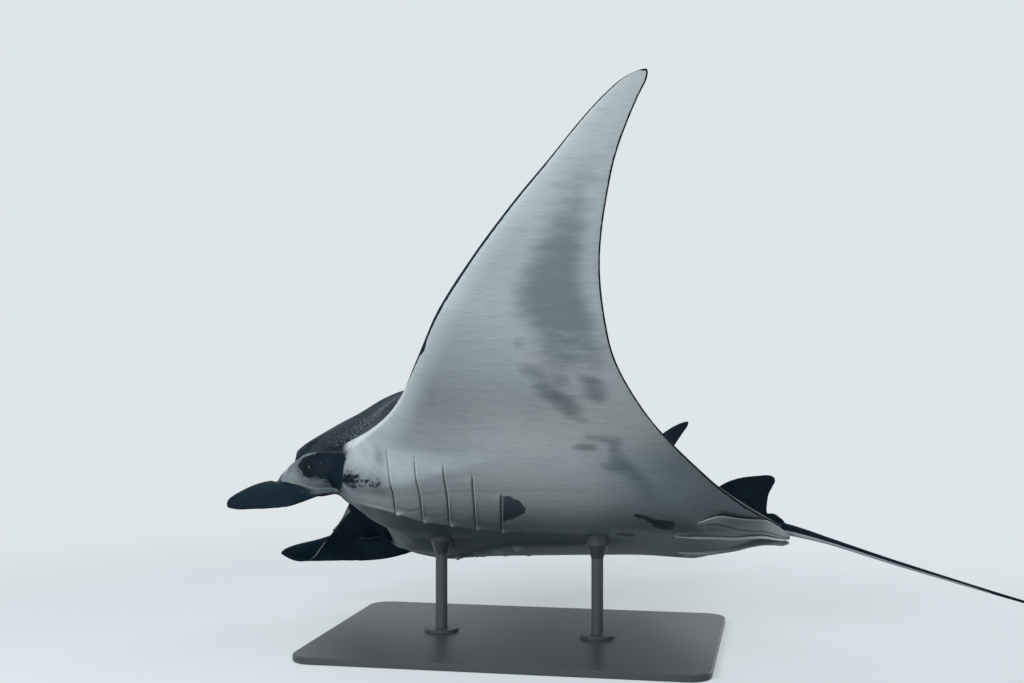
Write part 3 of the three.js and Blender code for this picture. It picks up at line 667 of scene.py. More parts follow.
def mouth():
    """Sections across the mouth, each a closed outline: along the palate, down the cave's end, over the lip, out."""
    y = MOUTH_HALF_WIDTH * np.sin(np.linspace(-np.pi / 2, np.pi / 2, 90))[:, None]
    outward = (y / MOUTH_HALF_WIDTH) ** 2
    edge, lower = lip_place(np.abs(y)), lip_height(np.abs(y))
    palate = ROOF + 0.0085 * outward
    deep = CAVE * np.sqrt(np.maximum(1 - outward, 0.02))
    t = np.linspace(0, 1, 40)[None]
    arches = 0.0016 * np.sin(np.pi * t) * np.cos(10 * np.pi * t)
    roof_x = MOUTH_FRONT + (edge - deep - MOUTH_FRONT) * t
    roof = np.stack([roof_x, y + 0 * t, palate + 0.002 * (1 - t) - 0.006 * t ** 3 + arches * (t > 0.5)], -1)
    floor_x = (edge - deep) + deep * t
    floor = np.stack([floor_x, y + 0 * t, lower + 0.004 * (1 - t) + arches], -1)
    down = np.linspace(0, 1, 14)[None]
    face = np.stack([edge + 0 * down, y + 0 * down, lower + (MOUTH_FLOOR - lower) * down], -1)
    outside = np.stack([MOUTH_FRONT + 0 * y, y, MOUTH_FLOOR + 0 * y], -1)
    return loft("mouth", np.concatenate([roof, floor, face[:, 1:], outside], 1), shade=1)


cave = mouth()
print("mouth:", len(cave.data.vertices), "points")

# %% [markdown]
# ## One skin
# On the animal no seam shows where a fin grows out of the body. The pieces could be left to overlap, which looks
# right from afar but shows hard creases. A boolean union makes them one closed skin.

# %% Join all into one skin
def known_places(*meshes):
    """The exact places of all vertices of some meshes, as one array of 12-byte keys."""
    places = np.concatenate([points_of(mesh).astype(np.float32) for mesh in meshes])
    return np.ascontiguousarray(places).view("V12").ravel()


def links_of(mesh):
    """The edges of a mesh as an array of vertex pairs."""
    return read(mesh.edges, "vertices", 2, np.int32)


def neighbour_mean(values, links, weight):
    """Weighted mean of the linked vertices' values, with the sum of their weights."""
    total, sum_of = np.zeros(len(values)), np.zeros_like(values)
    for a, b in ((links[:, 0], links[:, 1]), (links[:, 1], links[:, 0])):
        total += np.bincount(a, weight[b], len(values))
        for k in range(values.shape[1]):
            sum_of[:, k] += np.bincount(a, weight[b] * values[b, k], len(values))
    return sum_of / np.maximum(total, 1e-9)[:, None], total


def combine(target, tool, operation):
    """Boolean of two closed meshes, applied at once; the marks on its new edge come from the vertices beside it."""
    places = known_places(target.data, tool.data)
    step = target.modifiers.new("join", "BOOLEAN")
    step.object, step.operation, step.solver = tool, operation, "MANIFOLD"
    view = bpy.context.evaluated_depsgraph_get()
    result = bpy.data.meshes.new_from_object(target.evaluated_get(view))
    target.modifiers.remove(step)
    target.data = result
    bpy.data.objects.remove(tool)
    new = ~np.isin(known_places(result), places)
    links = links_of(result)
    values = np.stack([mark_of(result, mark) for mark in SKIN_MARKS], 1)
    known = ~new
    for _ in range(12):                         # rounds, each one point further into the new ones
        mean, total = neighbour_mean(values, links, known.astype(float))
        reached = ~known & (total > 0)
        values[reached] = mean[reached]
        known |= reached
    values[new, SKIN_MARKS.index("seam")] = operation == "UNION"
    for k, mark in enumerate(SKIN_MARKS):
        result.attributes[mark].data.foreach_set("value", values[:, k].astype(np.float32))
    return int(new.sum())


print("mouth's new points:", combine(skin, cave, "DIFFERENCE"))
for form in additions:
    name = form.name
    print(name, "new points:", combine(skin, form, "UNION"))
print("joined skin:", len(skin.data.vertices), "points,", len(skin.data.polygons), "faces")

# %% [markdown]
# ## Soften the joins
# A fin grows out of the body in a hollow curve. A bevel would need a clean loop of edges, which a boolean doesn't
# leave. So the points near each join are moved towards the mean of their neighbours, most of all on the join.

# %% Soften the joins
def smooth_near(mesh, reach, rounds):
    """Laplacian smoothing near the seams: each round moves a point half way to its neighbours' mean, times a
    weight that falls from 1 on the seam to 0 at a given reach (metres, walked along edges)."""
    place, links, seam = points_of(mesh), links_of(mesh), mark_of(mesh, "seam")
    length = np.linalg.norm(place[links[:, 0]] - place[links[:, 1]], axis=1)
    away = np.where(seam > 0.99, 0.0, 9.0)
    for _ in range(12):
        np.minimum.at(away, links[:, 0], away[links[:, 1]] + length)
        np.minimum.at(away, links[:, 1], away[links[:, 0]] + length)
    weight = 1 - ramp(0, reach, away)
    for _ in range(rounds):
        mean, _ = neighbour_mean(place, links, np.ones(len(place)))
        place += 0.5 * weight[:, None] * (mean - place)
    mesh.vertices.foreach_set("co", place.ravel())
    return int((weight > 0).sum())


print("points moved beside the joins:", smooth_near(skin.data, 0.03, 8))

# %% [markdown]
# ## Eyes
# A manta's eye looks sideways from the end of the head. The lids are a thick fold of skin round an upright oval
# gap, with a second, shallow fold round them, and the skin sinks behind the gap. They could be sculpted. A profile
# turned round the eye's axis raises the same folds on both sides and keeps them in one skin with the head.

# %% Eye sockets and lids
def eye_axes(side):
    """Outward, forward and upward directions at an eye, in the animal's axes."""
    outward = np.array([0.16, side * 0.95, -0.12])
    outward /= np.linalg.norm(outward)
    upward = np.array([0.1, 0, 1]) - outward * (outward @ np.array([0.1, 0, 1]))
    upward /= np.linalg.norm(upward)
    return outward, np.cross(upward, outward) * -side, upward


def in_animal(points):
    """Brings points from the room back into the animal's axes: the reverse of in_room."""
    return (points - PLACE) / DISC_WIDTH @ ATTITUDE


def refine(mesh, centre, reach):
    """Cuts every face near a place into four, once, so that small folds have enough points."""
    work = bmesh.new()
    work.from_mesh(mesh)
    work.edges.ensure_lookup_table()
    ends = points_of(mesh)[links_of(mesh)]
    near = np.linalg.norm(ends.mean(1) - centre, axis=1) < reach
    edges = [work.edges[i] for i in np.flatnonzero(near)]
    bmesh.ops.subdivide_edges(work, edges=edges, cuts=1, use_grid_fill=True)
    work.to_mesh(mesh)
    work.free()


def lids(mesh, side):
    """Moves the skin along the eye's axis by a profile of r, the distance from its centre in half openings."""
    outward, forward, upward = eye_axes(side)
    place = in_animal(points_of(mesh))
    offset = (place - EYE * [1, side, 1]) / MM
    r = np.hypot(offset @ forward / EYE_OPENING[0], offset @ upward / EYE_OPENING[1])
    facing = (np.abs(offset @ outward) < 70) * (offset @ outward > -25)
    lift = (3.4 * bump(r - 1.22, 0.2) - 1.2 * bump(r - 1.62, 0.17) + 1.3 * bump(r - 2.0, 0.25)
            - 20 * ramp(1.02, 0.72, r))             # mm: lid, furrow, second fold and the hollow behind the gap
    level = np.median((offset @ outward)[(r < 0.9) & (facing > 0)])
    place += (lift * facing * MM * ramp(3.2, 2.6, r))[:, None] * outward
    mesh.vertices.foreach_set("co", in_room(place).astype(np.float32).ravel())
    return level


eye_levels = {}
for side in (1, -1):
    refine(skin.data, in_room(EYE * [1, side, 1]), 0.085)
    eye_levels[side] = lids(skin.data, side)
print("skin with lids:", len(skin.data.vertices), "points,", len(skin.data.polygons), "faces")

# %% [markdown]
# ## Eyeballs
# The eyeball is a piece of its own, as it is on the animal. A sphere would do, but the real one is taller than
# wide and swells in front of the lens, so its rings are worked out by their angle from the axis.

# %% Eyeballs
BALL_OUT, BALL_FORWARD, BALL_UP = 19, 24, 34    # millimetres: half the eyeball's size along each of its axes


def eyeball(side, level):
    """Ellipsoid behind the lids, with a slightly raised clear front; the mark tilt is its angle from the axis."""
    outward, forward, upward = eye_axes(side)
    tilt = np.radians([0.5, *range(4, 41, 4), 46, 52, 60, 70, 80, 90, 105, 120, 140, 160, 179])[:, None]
    turn = np.linspace(0, 2 * np.pi, 64, endpoint=False)[None]
    bulge = 1 + 0.06 * bump(tilt, 0.5)
    local = np.stack([BALL_OUT * np.cos(tilt) * bulge + 0 * turn, BALL_FORWARD * np.sin(tilt) * np.cos(turn),
                      BALL_UP * np.sin(tilt) * np.sin(turn)], -1) * MM
    centre = EYE * [1, side, 1] + outward * (level - BALL_OUT) * MM
    rings = centre + local @ np.stack([outward, forward, upward])
    ball = loft("eyeball_left" if side == 1 else "eyeball_right", rings, tilt=np.degrees(tilt))
    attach(ball, "root")
    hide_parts("eye_left" if side == 1 else "eye_right")
    ball.data.shade_smooth()
    return ball


eyeballs = [eyeball(side, level) for side, level in eye_levels.items()]
print("eyeballs:", [ball.name for ball in eyeballs])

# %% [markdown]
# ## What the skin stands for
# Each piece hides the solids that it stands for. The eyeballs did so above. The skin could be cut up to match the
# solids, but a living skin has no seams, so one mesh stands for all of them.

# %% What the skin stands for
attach(skin, "root")
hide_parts("head", "trunk", "wing_left", "wing_right", "cephalic_fin_left", "cephalic_fin_right",
            "pelvic_fin_left", "pelvic_fin_right", "dorsal_fin", "tail_spine_knob", "tail_1", "tail_2", "tail_3")
skin.data.shade_smooth()
print("smooth skin of", len(skin.data.polygons), "faces")

# %% [markdown]
# ## Markings
# The skin is slate black above and pale below, and the border between them is what makes the animal one of a
# kind. Each marking is drawn as a distance in millimetres from a curve or a shape, worked out at every point of
# the skin. The material then only has to compare that distance with a little noise to get a ragged edge.

# %% Where every point of the skin lies
px, py, pz = in_animal(points_of(skin.data)).T
side = np.where(py < 0, -1.0, 1.0)
out, upper, shade, rear_part, trim, _ = (mark_of(skin.data, mark) for mark in SKIN_MARKS)
under = upper < 0.5
reach = np.where(rear_part > 0.5, np.abs(py), np.abs(out))
to_front, to_rear = distance_to(leading_edge, reach, px), distance_to(trailing_edge, reach, px)
front, rear = leading_edge(reach), trailing_edge(reach)
apex, squeeze = tip_apex(front, rear), tip_squeeze(reach)
to_tip = np.minimum(apex + (front - apex) * squeeze - px, px - apex - (rear - apex) * squeeze)
to_tip = np.minimum(np.where(reach > TIP_START, to_tip, 1), TIP - 0.0005 - reach)
from_edge = np.minimum(np.minimum(to_front, to_rear), np.maximum(to_tip, 0)) / MM
print("points on the back", int((upper > 0.5).sum()), "under the belly", int(under.sum()))

# %% [markdown]
# ## Black above, pale below
# The dark of the back laps a little way round the front edge of the wing and covers the top of the head, a round
# patch about the eye and the fins. The cheek stays pale. The border could be traced by hand as one line. It is the
# larger of a few distances instead, so each part of it can be moved alone.

# %% Black above, pale below
FAR = 60                                        # millimetres beyond which a mark's distance no longer matters


def soft_max(a, b, width):
    """Larger of two distances, with the corner between them rounded."""
    return (a + b + np.sqrt((a - b) ** 2 + width ** 2)) / 2


brow_line = curve_through(-60, 4,  -21.8, 4.2,  -7.6, 0.9,  2.7, -6.8,  8.9, -15.2,  15, -24.5)
cheek_top = curve_through(-60, -27.5,  -41, -29,  -35.5, -22.5,  -22, -20.5)
fin_base = curve_through(-50, -37,  -27.7, -33.5,  -17.4, -30,  10, -22.6,  20, -15)
front_margin = curve_through(0, -2,  180, -2,  240, 4,  300, 9,  400, 8,  460, 5,  500, 4, unit=1)
rear_margin = curve_through(0, 3,  130, 3,  300, 6,  500, 6, unit=1)
nearer_front = to_front < to_rear
dark_disc = (2 * upper - 1) * from_edge + np.where(nearer_front, front_margin(reach), rear_margin(reach))
dark_disc = dark_disc + 8 * bump(reach - 0.268, 0.004) * nearer_front * (side > 0)
over_brow = (pz - brow_line(px)) / MM + FAR * ramp(0.088, 0.078, reach)
round_eye = 52 * (1 - np.hypot((px + 0.0175) / 0.0125, (pz + 0.0095) / 0.0115))
behind_eye = np.minimum(np.minimum(-0.0215 - px, px + 0.0535), pz - cheek_top(px)) / MM
behind_eye = behind_eye - 26 * bump(np.hypot(px + 0.0406, pz + 0.0134), 0.006)
facing_in = -(read(skin.data.vertex_normals, "vector", 3).astype(float) @ ATTITUDE)[:, 1] * side
inner_face = FAR * ramp(-0.1, 0.3, facing_in) * ramp(-0.085, -0.07, px) - FAR / 2
dark_head = soft_max(over_brow, soft_max(round_eye, behind_eye, 8), 6)
on_head = ramp(-0.063, -0.047, px)
dark = np.clip(dark_disc, -38, FAR) * (1 - on_head) + soft_max(dark_head, inner_face, 6) * on_head
below_base = (fin_base(px) - pz) / MM
outer_face = (np.abs(py) > 0.08) & (facing_in < 0.1)
on_fin = np.where((reach < 0.02) & (px < 0.02) & outer_face, np.clip(below_base, -FAR, FAR), FAR)
dark = dark * (1 - shade) + on_fin * shade
dark = np.where(rear_part > 0.5, FAR * (upper - 0.5 + ramp(-0.61, -0.67, px)), dark)
dusk = ramp(-75, 0, dark) * np.maximum(on_head, shade) * (rear_part < 0.5)
print("share of dark points:", round(float((dark > 0).mean()), 2))

# %% [markdown]
# ## Grey band, blotches and spots
# Under each wing a smoky grey band lies before the rear edge, smaller blotches trail from it towards the hip, and
# behind the last gill slit stands a dark patch like a sail. Ink dropped on wet paper would give such shapes. Brush
# strokes with soft ends do the same and stay easy to place.

# %% Grey band, blotches and spots
def stroke(a, b, c, d, radius):
    """Nearness to a straight brush stroke on the flattened wing, from (a, b) to (c, d): distance over its radius."""
    share = np.clip(((reach - a) * (c - a) + (px_even - b) * (d - b)) / ((c - a) ** 2 + (d - b) ** 2 + 1e-9), 0, 1)
    return np.hypot(reach - a - share * (c - a), px_even - b - share * (d - b)) / radius


px_even = px + np.where(side < 0, 0.006 * np.sin(40 * reach), 0)
band_front = curve_through(220, -250,  240.5, -246,  254, -235,  289, -233.6,  301, -227.5,  325.6, -225.5,
    349, -235.5,  389.2, -249.7,  420, -260,  500, -300)
band_rear = curve_through(220, -302,  258.2, -299.4,  280, -295.5,  321.4, -280.9,  340.6, -277.8,
    384.4, -283.6,  412.6, -289.8,  500, -320)
band = (ramp(-0.02, 0.026, band_front(reach) - px_even) * ramp(-0.018, 0.014, px_even - band_rear(reach))
        * ramp(0.224, 0.264, reach) * (1 - 0.35 * ramp(0.36, 0.4, reach))
        * ramp(0.47, 0.4, reach) * (0.72 + 0.28 * ramp(0.27, 0.31, reach)))
# strokes in thousandths: reach and place of both ends, radius, and for blotches their strength
BLOTCHES = ((249, -230, 237, -264, 6, 750), (276, -226.5, 270, -245, 4.5, 600), (229, -246, 204, -267, 12.5, 850),
            (191, -269, 187, -280, 4.5, 450), (238, -285, 222, -290, 12.5, 800),
            (158.5, -271, 159, -284, 5.2, 850), (171.5, -280, 164, -306, 5.2, 700),
            (164, -304, 151, -303, 7.5, 700), (137, -297, 135, -316, 6.5, 800), (147, -304, 127, -322, 9.5, 850),
            (122, -326, 104, -332, 11.5, 550), (96.8, -342, 95.5, -351, 3.2, 500))
for *ends, radius, strength in np.array(BLOTCHES) / 1000:
    band = np.maximum(band, strength * bump(stroke(*ends, radius), 1))
SPOTS = ((76.5, -321, 74.5, -329, 3.6), (68.5, -335, 67, -350, 5.2), (60, -341, 57, -346, 6.8),
         (22.5, -304, 19.5, -308, 7.5))
spot = np.full(len(px), -FAR, float)
for *ends, radius in np.array(SPOTS) / 1000:
    left_only = np.where((side < 0) & (ends[0] < 0.03), FAR, 0)
    spot = np.maximum(spot, radius / MM * (1 - stroke(*ends, radius)) - left_only)
behind_last = (gill_line(GILL_COUNT - 1, gill_share(GILL_COUNT - 1, reach)) - px) / MM
SAIL_LENGTH = 120                               # millimetres that the dark sail reaches behind the last slit
along_sail = np.clip(behind_last / SAIL_LENGTH, 0, 1)
sail_top, sail_foot = 0.1038 - 0.0194 * along_sail ** 2.4, 0.0643 + 0.0201 * along_sail
sail = np.minimum(behind_last, np.minimum(sail_top - reach, reach - sail_foot) / MM)
spot = np.maximum(spot, np.where(behind_last < SAIL_LENGTH, sail, -FAR))
collar = ((0.82 * ramp(-0.112, -0.088, px) + 0.18 * ramp(-0.075, -0.062, px))
          * bump(pz + 0.0215 - 0.12 * (px + 0.055), 0.0125 + 0.004 * ramp(-0.066, -0.058, px))
          * (0.93 + 0.07 * np.sin(1400 * pz + 2.5 * np.sin(70 * px)))
          * ramp(0.1, 0.108, reach))
collar = np.maximum(collar, 0.62 * bump(np.hypot(reach - 0.1335, px + 0.0895), 0.0065))
# Painted shade on the belly: the throat and chest, which face down, the hollow between the keels, the gills, the
# outer wing and all the belly but the middle of the wing, so that the middle looks lit. The hip grows darker towards
# the tail, and the head a little greyer.
mid_wing = (ramp(0.11, 0.17, reach) * ramp(0.36, 0.27, reach) * ramp(-0.15, -0.22, px)
            * ramp(-0.37, -0.34, px))
gill_shade = bump(np.hypot(reach - 0.105, (px + 0.15) / 1.6), 0.05)
painted_shade = np.maximum.reduce([                      # painted shade: hip, head, throat, chest, between the keels, wing
    0.78 * ramp(-0.235, -0.36, px) * ramp(0.2, 0.13, reach) * ramp(0.02, 0.06, reach),
    0.36 * on_head,
    0.5 * ramp(-0.125, -0.06, px) * ramp(-0.012, -0.03, pz),
    0.35 * ramp(0.15, 0.1, reach) * ramp(-0.3, -0.2, px),
    0.85 * ramp(0, 25, (keel_line(px) - reach) / MM) * ramp(-0.35, -0.25, px),
    0.22 * (1 - mid_wing) + 0.25 * gill_shade + 0.14 * ramp(0.36, 0.45, reach)])
print("share of the belly under band or blotches:", round(float((band[under] > 0.3).mean()), 3))

# %% [markdown]
# ## Painted crease shade and highlights
# Thin lines make soft skin readable. Painted shade lies in the cut of each slit, in the slack folds between them,
# along the keel and in the furrows and the gap of the pelvic fins; painted highlights lie on the lip behind each
# slit, the edge of the keel, the brow, the root of the wing and the edges of the fins. A small dark dot sits ahead
# of each eye. They are too fine for the mesh, so they are drawn as bells of distance, a few millimetres wide.

# %% Painted crease shade and highlights
# Painted shade in each slit, in the folds between slits and along the keel; painted highlights on the lips, the
# notches at the slits' inner ends, their outer shoulders and the keel's edge.
crease_shade, painted_highlight = 0 * px, 0 * px
for i in range(GILL_COUNT):
    share = gill_share(i, reach)
    behind = (gill_line(i, share) - px) / MM
    held = ramp(-0.02, 0.05, share) * ramp(1.05, 0.99, share)
    crease_shade = np.maximum(crease_shade, held * (0.55 + 0.45 * np.clip(share, 0, 1)) * bump(behind, 2.2))
    painted_highlight = np.maximum(painted_highlight, 0.4 * held * bump(behind - 7, 3.5))
    painted_highlight = np.maximum(painted_highlight, bump(np.hypot((behind - 17) / 19, (share - 1.005) / 0.065), 1))
    if i > 1:
        shoulder = bump(share - 0.035, 0.035) * ramp(-75, -20, behind) * (behind < 4)
        painted_highlight = np.maximum(painted_highlight, 0.3 * shoulder)
    if i < GILL_COUNT - 1:
        crease_shade = np.maximum(crease_shade, 0.4 * fold_between(share, behind, 0.014))
inside_keel = (keel_line(px) - reach) / MM
crease_shade = np.maximum(crease_shade, 0.55 * keel_share(px) * bump(inside_keel - 8, 9))
painted_highlight = np.maximum(painted_highlight, 0.35 * keel_share(px) * bump(inside_keel + 5, 5))
crease_shade, painted_highlight, band = crease_shade * under, painted_highlight * under, band * under
# Painted highlights on the brow, the root of the wing, the base and rolled edge of each cephalic fin and the ridges
# of the pelvic fins, with painted shade in the pelvic furrows.
brow_highlight = bump(over_brow - 2, 5) * (reach > 0.086) * (1 - ramp(-0.004, -0.022, px) * 0.95) * (shade < 0.3)
root = bump(from_edge, 4) * ramp(0.116, 0.122, reach) * ramp(0.24, 0.205, reach) * (px > -0.15)
fin_base_highlight = bump(below_base, 4) * (px < 0.02) * (px > -0.03) * (np.abs(py) > 0.09) * (facing_in < 0.1) * (shade > 0.5)
rolled_edge_highlight = ramp(0.6, 0.95, trim) * (rear_part < 0.5)
fold = rear_part * trim * (1 - upper)
painted_highlight = np.maximum.reduce([painted_highlight, brow_highlight, root, 0.6 * fin_base_highlight, 0.8 * rolled_edge_highlight, np.clip(fold, 0, 1)])
# Painted shadow in the gap above each pelvic lobe, and a small dark dot ahead of each eye.
above_lobe = reach - lobe_outer_y(px)
shadow_above_lobe = ramp(-0.008, -0.004, above_lobe) * ramp(0.004, 0.001, above_lobe) * under * (rear_part < 0.5)
shadow_above_lobe = shadow_above_lobe * ramp(-0.388, -0.398, px) * ramp(-0.442, -0.428, px)
dot = bump(np.hypot(px - 0.003, pz + 0.0155), 0.0012) * (np.abs(py) > 0.085) * (facing_in < 0.1)
crease_shade = np.maximum.reduce([crease_shade, -0.7 * fold, 1.15 * shadow_above_lobe, dot])
print("points on dark lines", int((crease_shade > 0.3).sum()), "and on pale ones", int((painted_highlight > 0.3).sum()))

# %% [markdown]
# ## Patches and flecks on the back
# Two white patches lie across the shoulders like a torn collar, and pale flecks are scattered behind the head.
# A stencil would give both. Each is one more distance, which is easier to move.

# %% Patches and flecks on the back
PATCH_FAR = 200                                 # millimetres: as FAR, for the large patches
patch_front = -0.09 - 0.3 * (reach - 0.05)
patch_rear = patch_front - 0.07 * np.sin(np.pi * np.clip((reach - 0.02) / 0.24, 0, 1)) ** 0.7
patch = np.minimum(np.minimum(patch_front - px, px - patch_rear), np.minimum(reach - 0.045, 0.25 - reach)) / MM
patch = np.where(upper > 0.5, patch, -float(PATCH_FAR))
freckle = bump(np.hypot(reach - 0.1, (px + 0.068) / 1.5), 0.028) * (upper > 0.5)

# %% [markdown]
# ## Marks on the skin
# Colours could be stored on the points at once, but they would blur from point to point. Distances are stored
# instead: the material cuts them off sharply, with noise, between the points too.

# %% Marks on the skin
for mark in SKIN_MARKS:
    skin.data.attributes.remove(skin.data.attributes[mark])
raggedness = 3 + 17 * on_head * (1 - shade) + 3 * shade    # millimetres of noise at the border, most on the head
evened = np.stack([np.clip(dark / raggedness, -6, 6), painted_highlight, crease_shade], 1)
links, alike = links_of(skin.data), np.ones(len(dark))
at_fin_base = on_head * (px < 0.03) * (np.abs(py) > 0.08) * bump(below_base, 22) * (facing_in < 0.4)
for _ in range(6):                              # evens out the teeth that the seam's small faces would draw there
    evened += np.clip(1.6 * at_fin_base, 0, 1)[:, None] * (neighbour_mean(evened, links, alike)[0] - evened)
dark_part, painted_highlight, crease_shade = evened.T
# Two of these marks are painted shade, on the belly and in its creases, and one is painted highlights on lips, ridges
# and edges.
kept_marks = {
    "dark": np.maximum(dark_part, -1.7 + 2.15 * collar * under), "band": np.clip(band, 0, 1), "painted_shade": painted_shade * under,
    "dusk": np.maximum(dusk, 0.9 * collar * under), "spot": np.clip(spot * under, -FAR, FAR), "painted_crease_shade": crease_shade,
    "painted_highlight": painted_highlight, "patch": np.clip(patch, -PATCH_FAR, PATCH_FAR), "freckle": freckle}
for name, values in kept_marks.items():
    keep_mark(skin.data, name, values)
flow = skin.data.attributes.new("flow", "FLOAT_VECTOR", "POINT")
flow.data.foreach_set("vector", np.stack([px, reach * side, 0 * px], 1).astype(np.float32).ravel() * DISC_WIDTH)
print("marks kept:", [a.name for a in skin.data.attributes if not a.name.startswith(".")])

# %% [markdown]
# ## Node helpers
# A material is a tree of nodes. It could be wired by hand in the shader editor. Here one small function adds any
# node with its settings and links, and another lays colours over each other as a painter lays coats, because
# nearly everything on a skin is a thin coat with an edge of its own.

# %% Node helpers
def linear(hex_colour):
    """sRGB hex to linear colour: the piecewise power 2.4 curve of the standard, with full alpha."""
    c = np.array([int(hex_colour[i:i + 2], 16) for i in (1, 3, 5)]) / 255
    return (*np.where(c <= 0.04045, c / 12.92, ((c + 0.055) / 1.055) ** 2.4).tolist(), 1)


def new_material(name):
    """Empty material, its tree and its principled shader."""
    material = bpy.data.materials.new(name)
    material.use_nodes = True
    return material, material.node_tree, material.node_tree.nodes["Principled BSDF"]


def add(tree, node, inputs=None, out=0, **settings):
    """Adds a node, or takes one that is there. Inputs go by name or number: sockets are linked, values are set.
    The node's own settings follow. Returns the output asked for, if the node has one."""
    if isinstance(node, str):
        node = tree.nodes.new("ShaderNode" + node)
    for key, value in settings.items():
        setattr(node, key, value)
    for key, value in (inputs or {}).items():
        if isinstance(value, bpy.types.NodeSocket):
            tree.links.new(value, node.inputs[key])
        else:
            node.inputs[key].default_value = value
    return node.outputs[out] if len(node.outputs) else None


def coats(tree, colour, *layers):
    """Lays coats over a colour. A coat is a mask, its paint and its strength: the mask times the strength says how
    much it covers. If two limits follow, the mask is first made a smooth step between them."""
    for mask, paint, strength, *limits in layers:
        if limits:
            cover = add(tree, "MapRange", {"Value": mask, "From Min": limits[0], "From Max": limits[1],
                                           "To Max": strength}, interpolation_type="SMOOTHSTEP")
        else:
            cover = add(tree, "Math", {0: mask, 1: strength}, operation="MULTIPLY")
        colour = add(tree, "Mix", {0: cover, 6: colour, 7: linear(paint)}, out=2, data_type="RGBA")
    return colour


def weighted(tree, total, *terms):
    """A number plus several sockets, each times its weight."""
    for socket, weight in terms:
        total = add(tree, "Math", {0: socket, 1: weight, 2: total}, operation="MULTIPLY_ADD")
    return total


def dress(material, *things):
    """Gives pieces one material and prints how large it is."""
    for thing in things:
        thing.data.materials.clear()
        thing.data.materials.append(material)
    print(material.name, "of", len(material.node_tree.nodes), "nodes on", [thing.name for thing in things])


print("slate in linear light:", [round(c, 4) for c in linear("#061824")])

# %% [markdown]
# ## Wet ray skin
# Living skin is never one flat colour. Under the belly it is a cool grey-white, with fine streaks that run with
# the chord of the wing. Above it is slate black with pale freckles. Both are covered in tiny tooth-like scales,
# which blur every highlight to a satin sheen. Such a skin could be painted on an unwrapped mesh. Here noise and
# the stored distances say where each coat lies, so that it stays sharp at any distance.

# %% Wet ray skin
SKIN_PATTERNS = (                              # name, waves per metre, detail, roughness
    ("streak", (7, 42, 1), 5, 0.62),           # 24 mm apart and 140 mm long, along the chord
    ("wrinkle", (22, 260, 1), 3, 0.55),        # 4 mm apart and 45 mm long
    ("smoke", (9, 26, 1), 6, 0.6),             # 38 mm by 110 mm, at the edges of the grey band
    ("cloud", 2.2, 3, 0.55),                   # 450 mm
    ("mottle", 7, 4, 0.55),                    # 140 mm
    ("tatter", 48, 5, 0.65),                   # 20 mm and less, at the edges of dark marks
    ("fleck", 120, 2, 0.55),                   # 8 mm
    ("scales", 420, 2, 0.55))                  # 2.4 mm: real ones are 0.5 mm, too fine to show


def skin_material():
    """Pale belly and slate back, joined along a ragged border, with their markings, painted shade and painted
    highlights, and fine relief. The satin gloss is that of wet scales: rough enough to blur a lamp, and with less
    shine on the dark back."""
    material, tree, shader = new_material("wet_satin_ray_skin")
    shader.inputs["Specular IOR Level"].default_value = 0.2    # holds where a link to it isn't read
    spot_at = add(tree, "TexCoord", out="Object")
    flow_at = add(tree, "Attribute", out="Vector", attribute_name="flow")
    mark = {name: add(tree, "Attribute", out="Fac", attribute_name=name) for name in kept_marks}
    seen = {}
    for name, waves, detail, rough in SKIN_PATTERNS:
        at = spot_at
        if isinstance(waves, tuple):
            at, waves = add(tree, "Mapping", {"Vector": flow_at, "Scale": waves}), 1
        seen[name] = add(tree, "TexNoise", {"Vector": at, "Scale": waves, "Detail": detail, "Roughness": rough})

    def torn(name, by, amount):
        """A mark pushed up and down by noise around its middle, so that its edge tears."""
        return weighted(tree, -amount / 2, (seen[by], amount), (mark[name], 1))

    band, held = (add(tree, "MapRange", {"Value": value, "From Min": low, "From Max": high},
                      interpolation_type="SMOOTHSTEP")
                  for value, low, high in ((torn("band", "smoke", 0.8), 0.1, 1), (mark["band"], 0.02, 0.3)))
    smoky_band = add(tree, "Math", {0: band, 1: held}, operation="MULTIPLY")
    belly = coats(
        tree, linear("#dbe7e9"), (seen["cloud"], "#cbdade", 1, 0.3, 0.7),
        (seen["streak"], "#8fa3a9", 0.26, 0.48, 0.75), (seen["wrinkle"], "#7d9299", 0.15, 0.42, 0.68),
        # painted shade on the belly
        (mark["painted_shade"], "#647a80", 1),
        (smoky_band, "#5f747b", 0.73), (torn("spot", "tatter", 40), "#2c434c", 0.9, -3, 3),
        # the first coat on the next line is painted shade in slits, folds and grooves, with a small dark dot
        (mark["painted_crease_shade"], "#1f333c", 0.8), (mark["dusk"], "#1b313c", 0.8))
    slate = coats(
        tree, linear("#061824"), (seen["mottle"], "#0e2733", 1, 0.35, 0.7),
        (weighted(tree, 0, (mark["freckle"], 0.2), (seen["fleck"], 1)), "#6f898d", 0.75, 0.7, 0.77),
        (torn("patch", "tatter", 120), "#aebdc0", 0.9, -8, 14))
    dark_on = add(tree, "MapRange", {"Value": torn("dark", "tatter", 2.2), "From Min": -0.3, "From Max": 0.3},
                  interpolation_type="SMOOTHSTEP")
    colour = add(tree, "Mix", {0: dark_on, 6: belly, 7: slate}, out=2, data_type="RGBA")
    relief = weighted(                          # heights in metres
        tree, 0, (seen["wrinkle"], 0.0012), (seen["scales"], 0.0004), (seen["streak"], 0.002))
    add(tree, shader, {
        # the pale coat is painted highlights on lips, ridges and edges
        "Base Color": coats(tree, colour, (mark["painted_highlight"], "#e4f1f3", 0.88)),
        "Roughness": weighted(tree, 0.44, (dark_on, 0.04), (seen["scales"], 0.14)),
        "Specular IOR Level": weighted(tree, 0.3, (dark_on, -0.21)),
        "Normal": add(tree, "Bump", {"Height": relief, "Strength": 0.6, "Distance": 1})})
    return material


dress(skin_material(), skin)

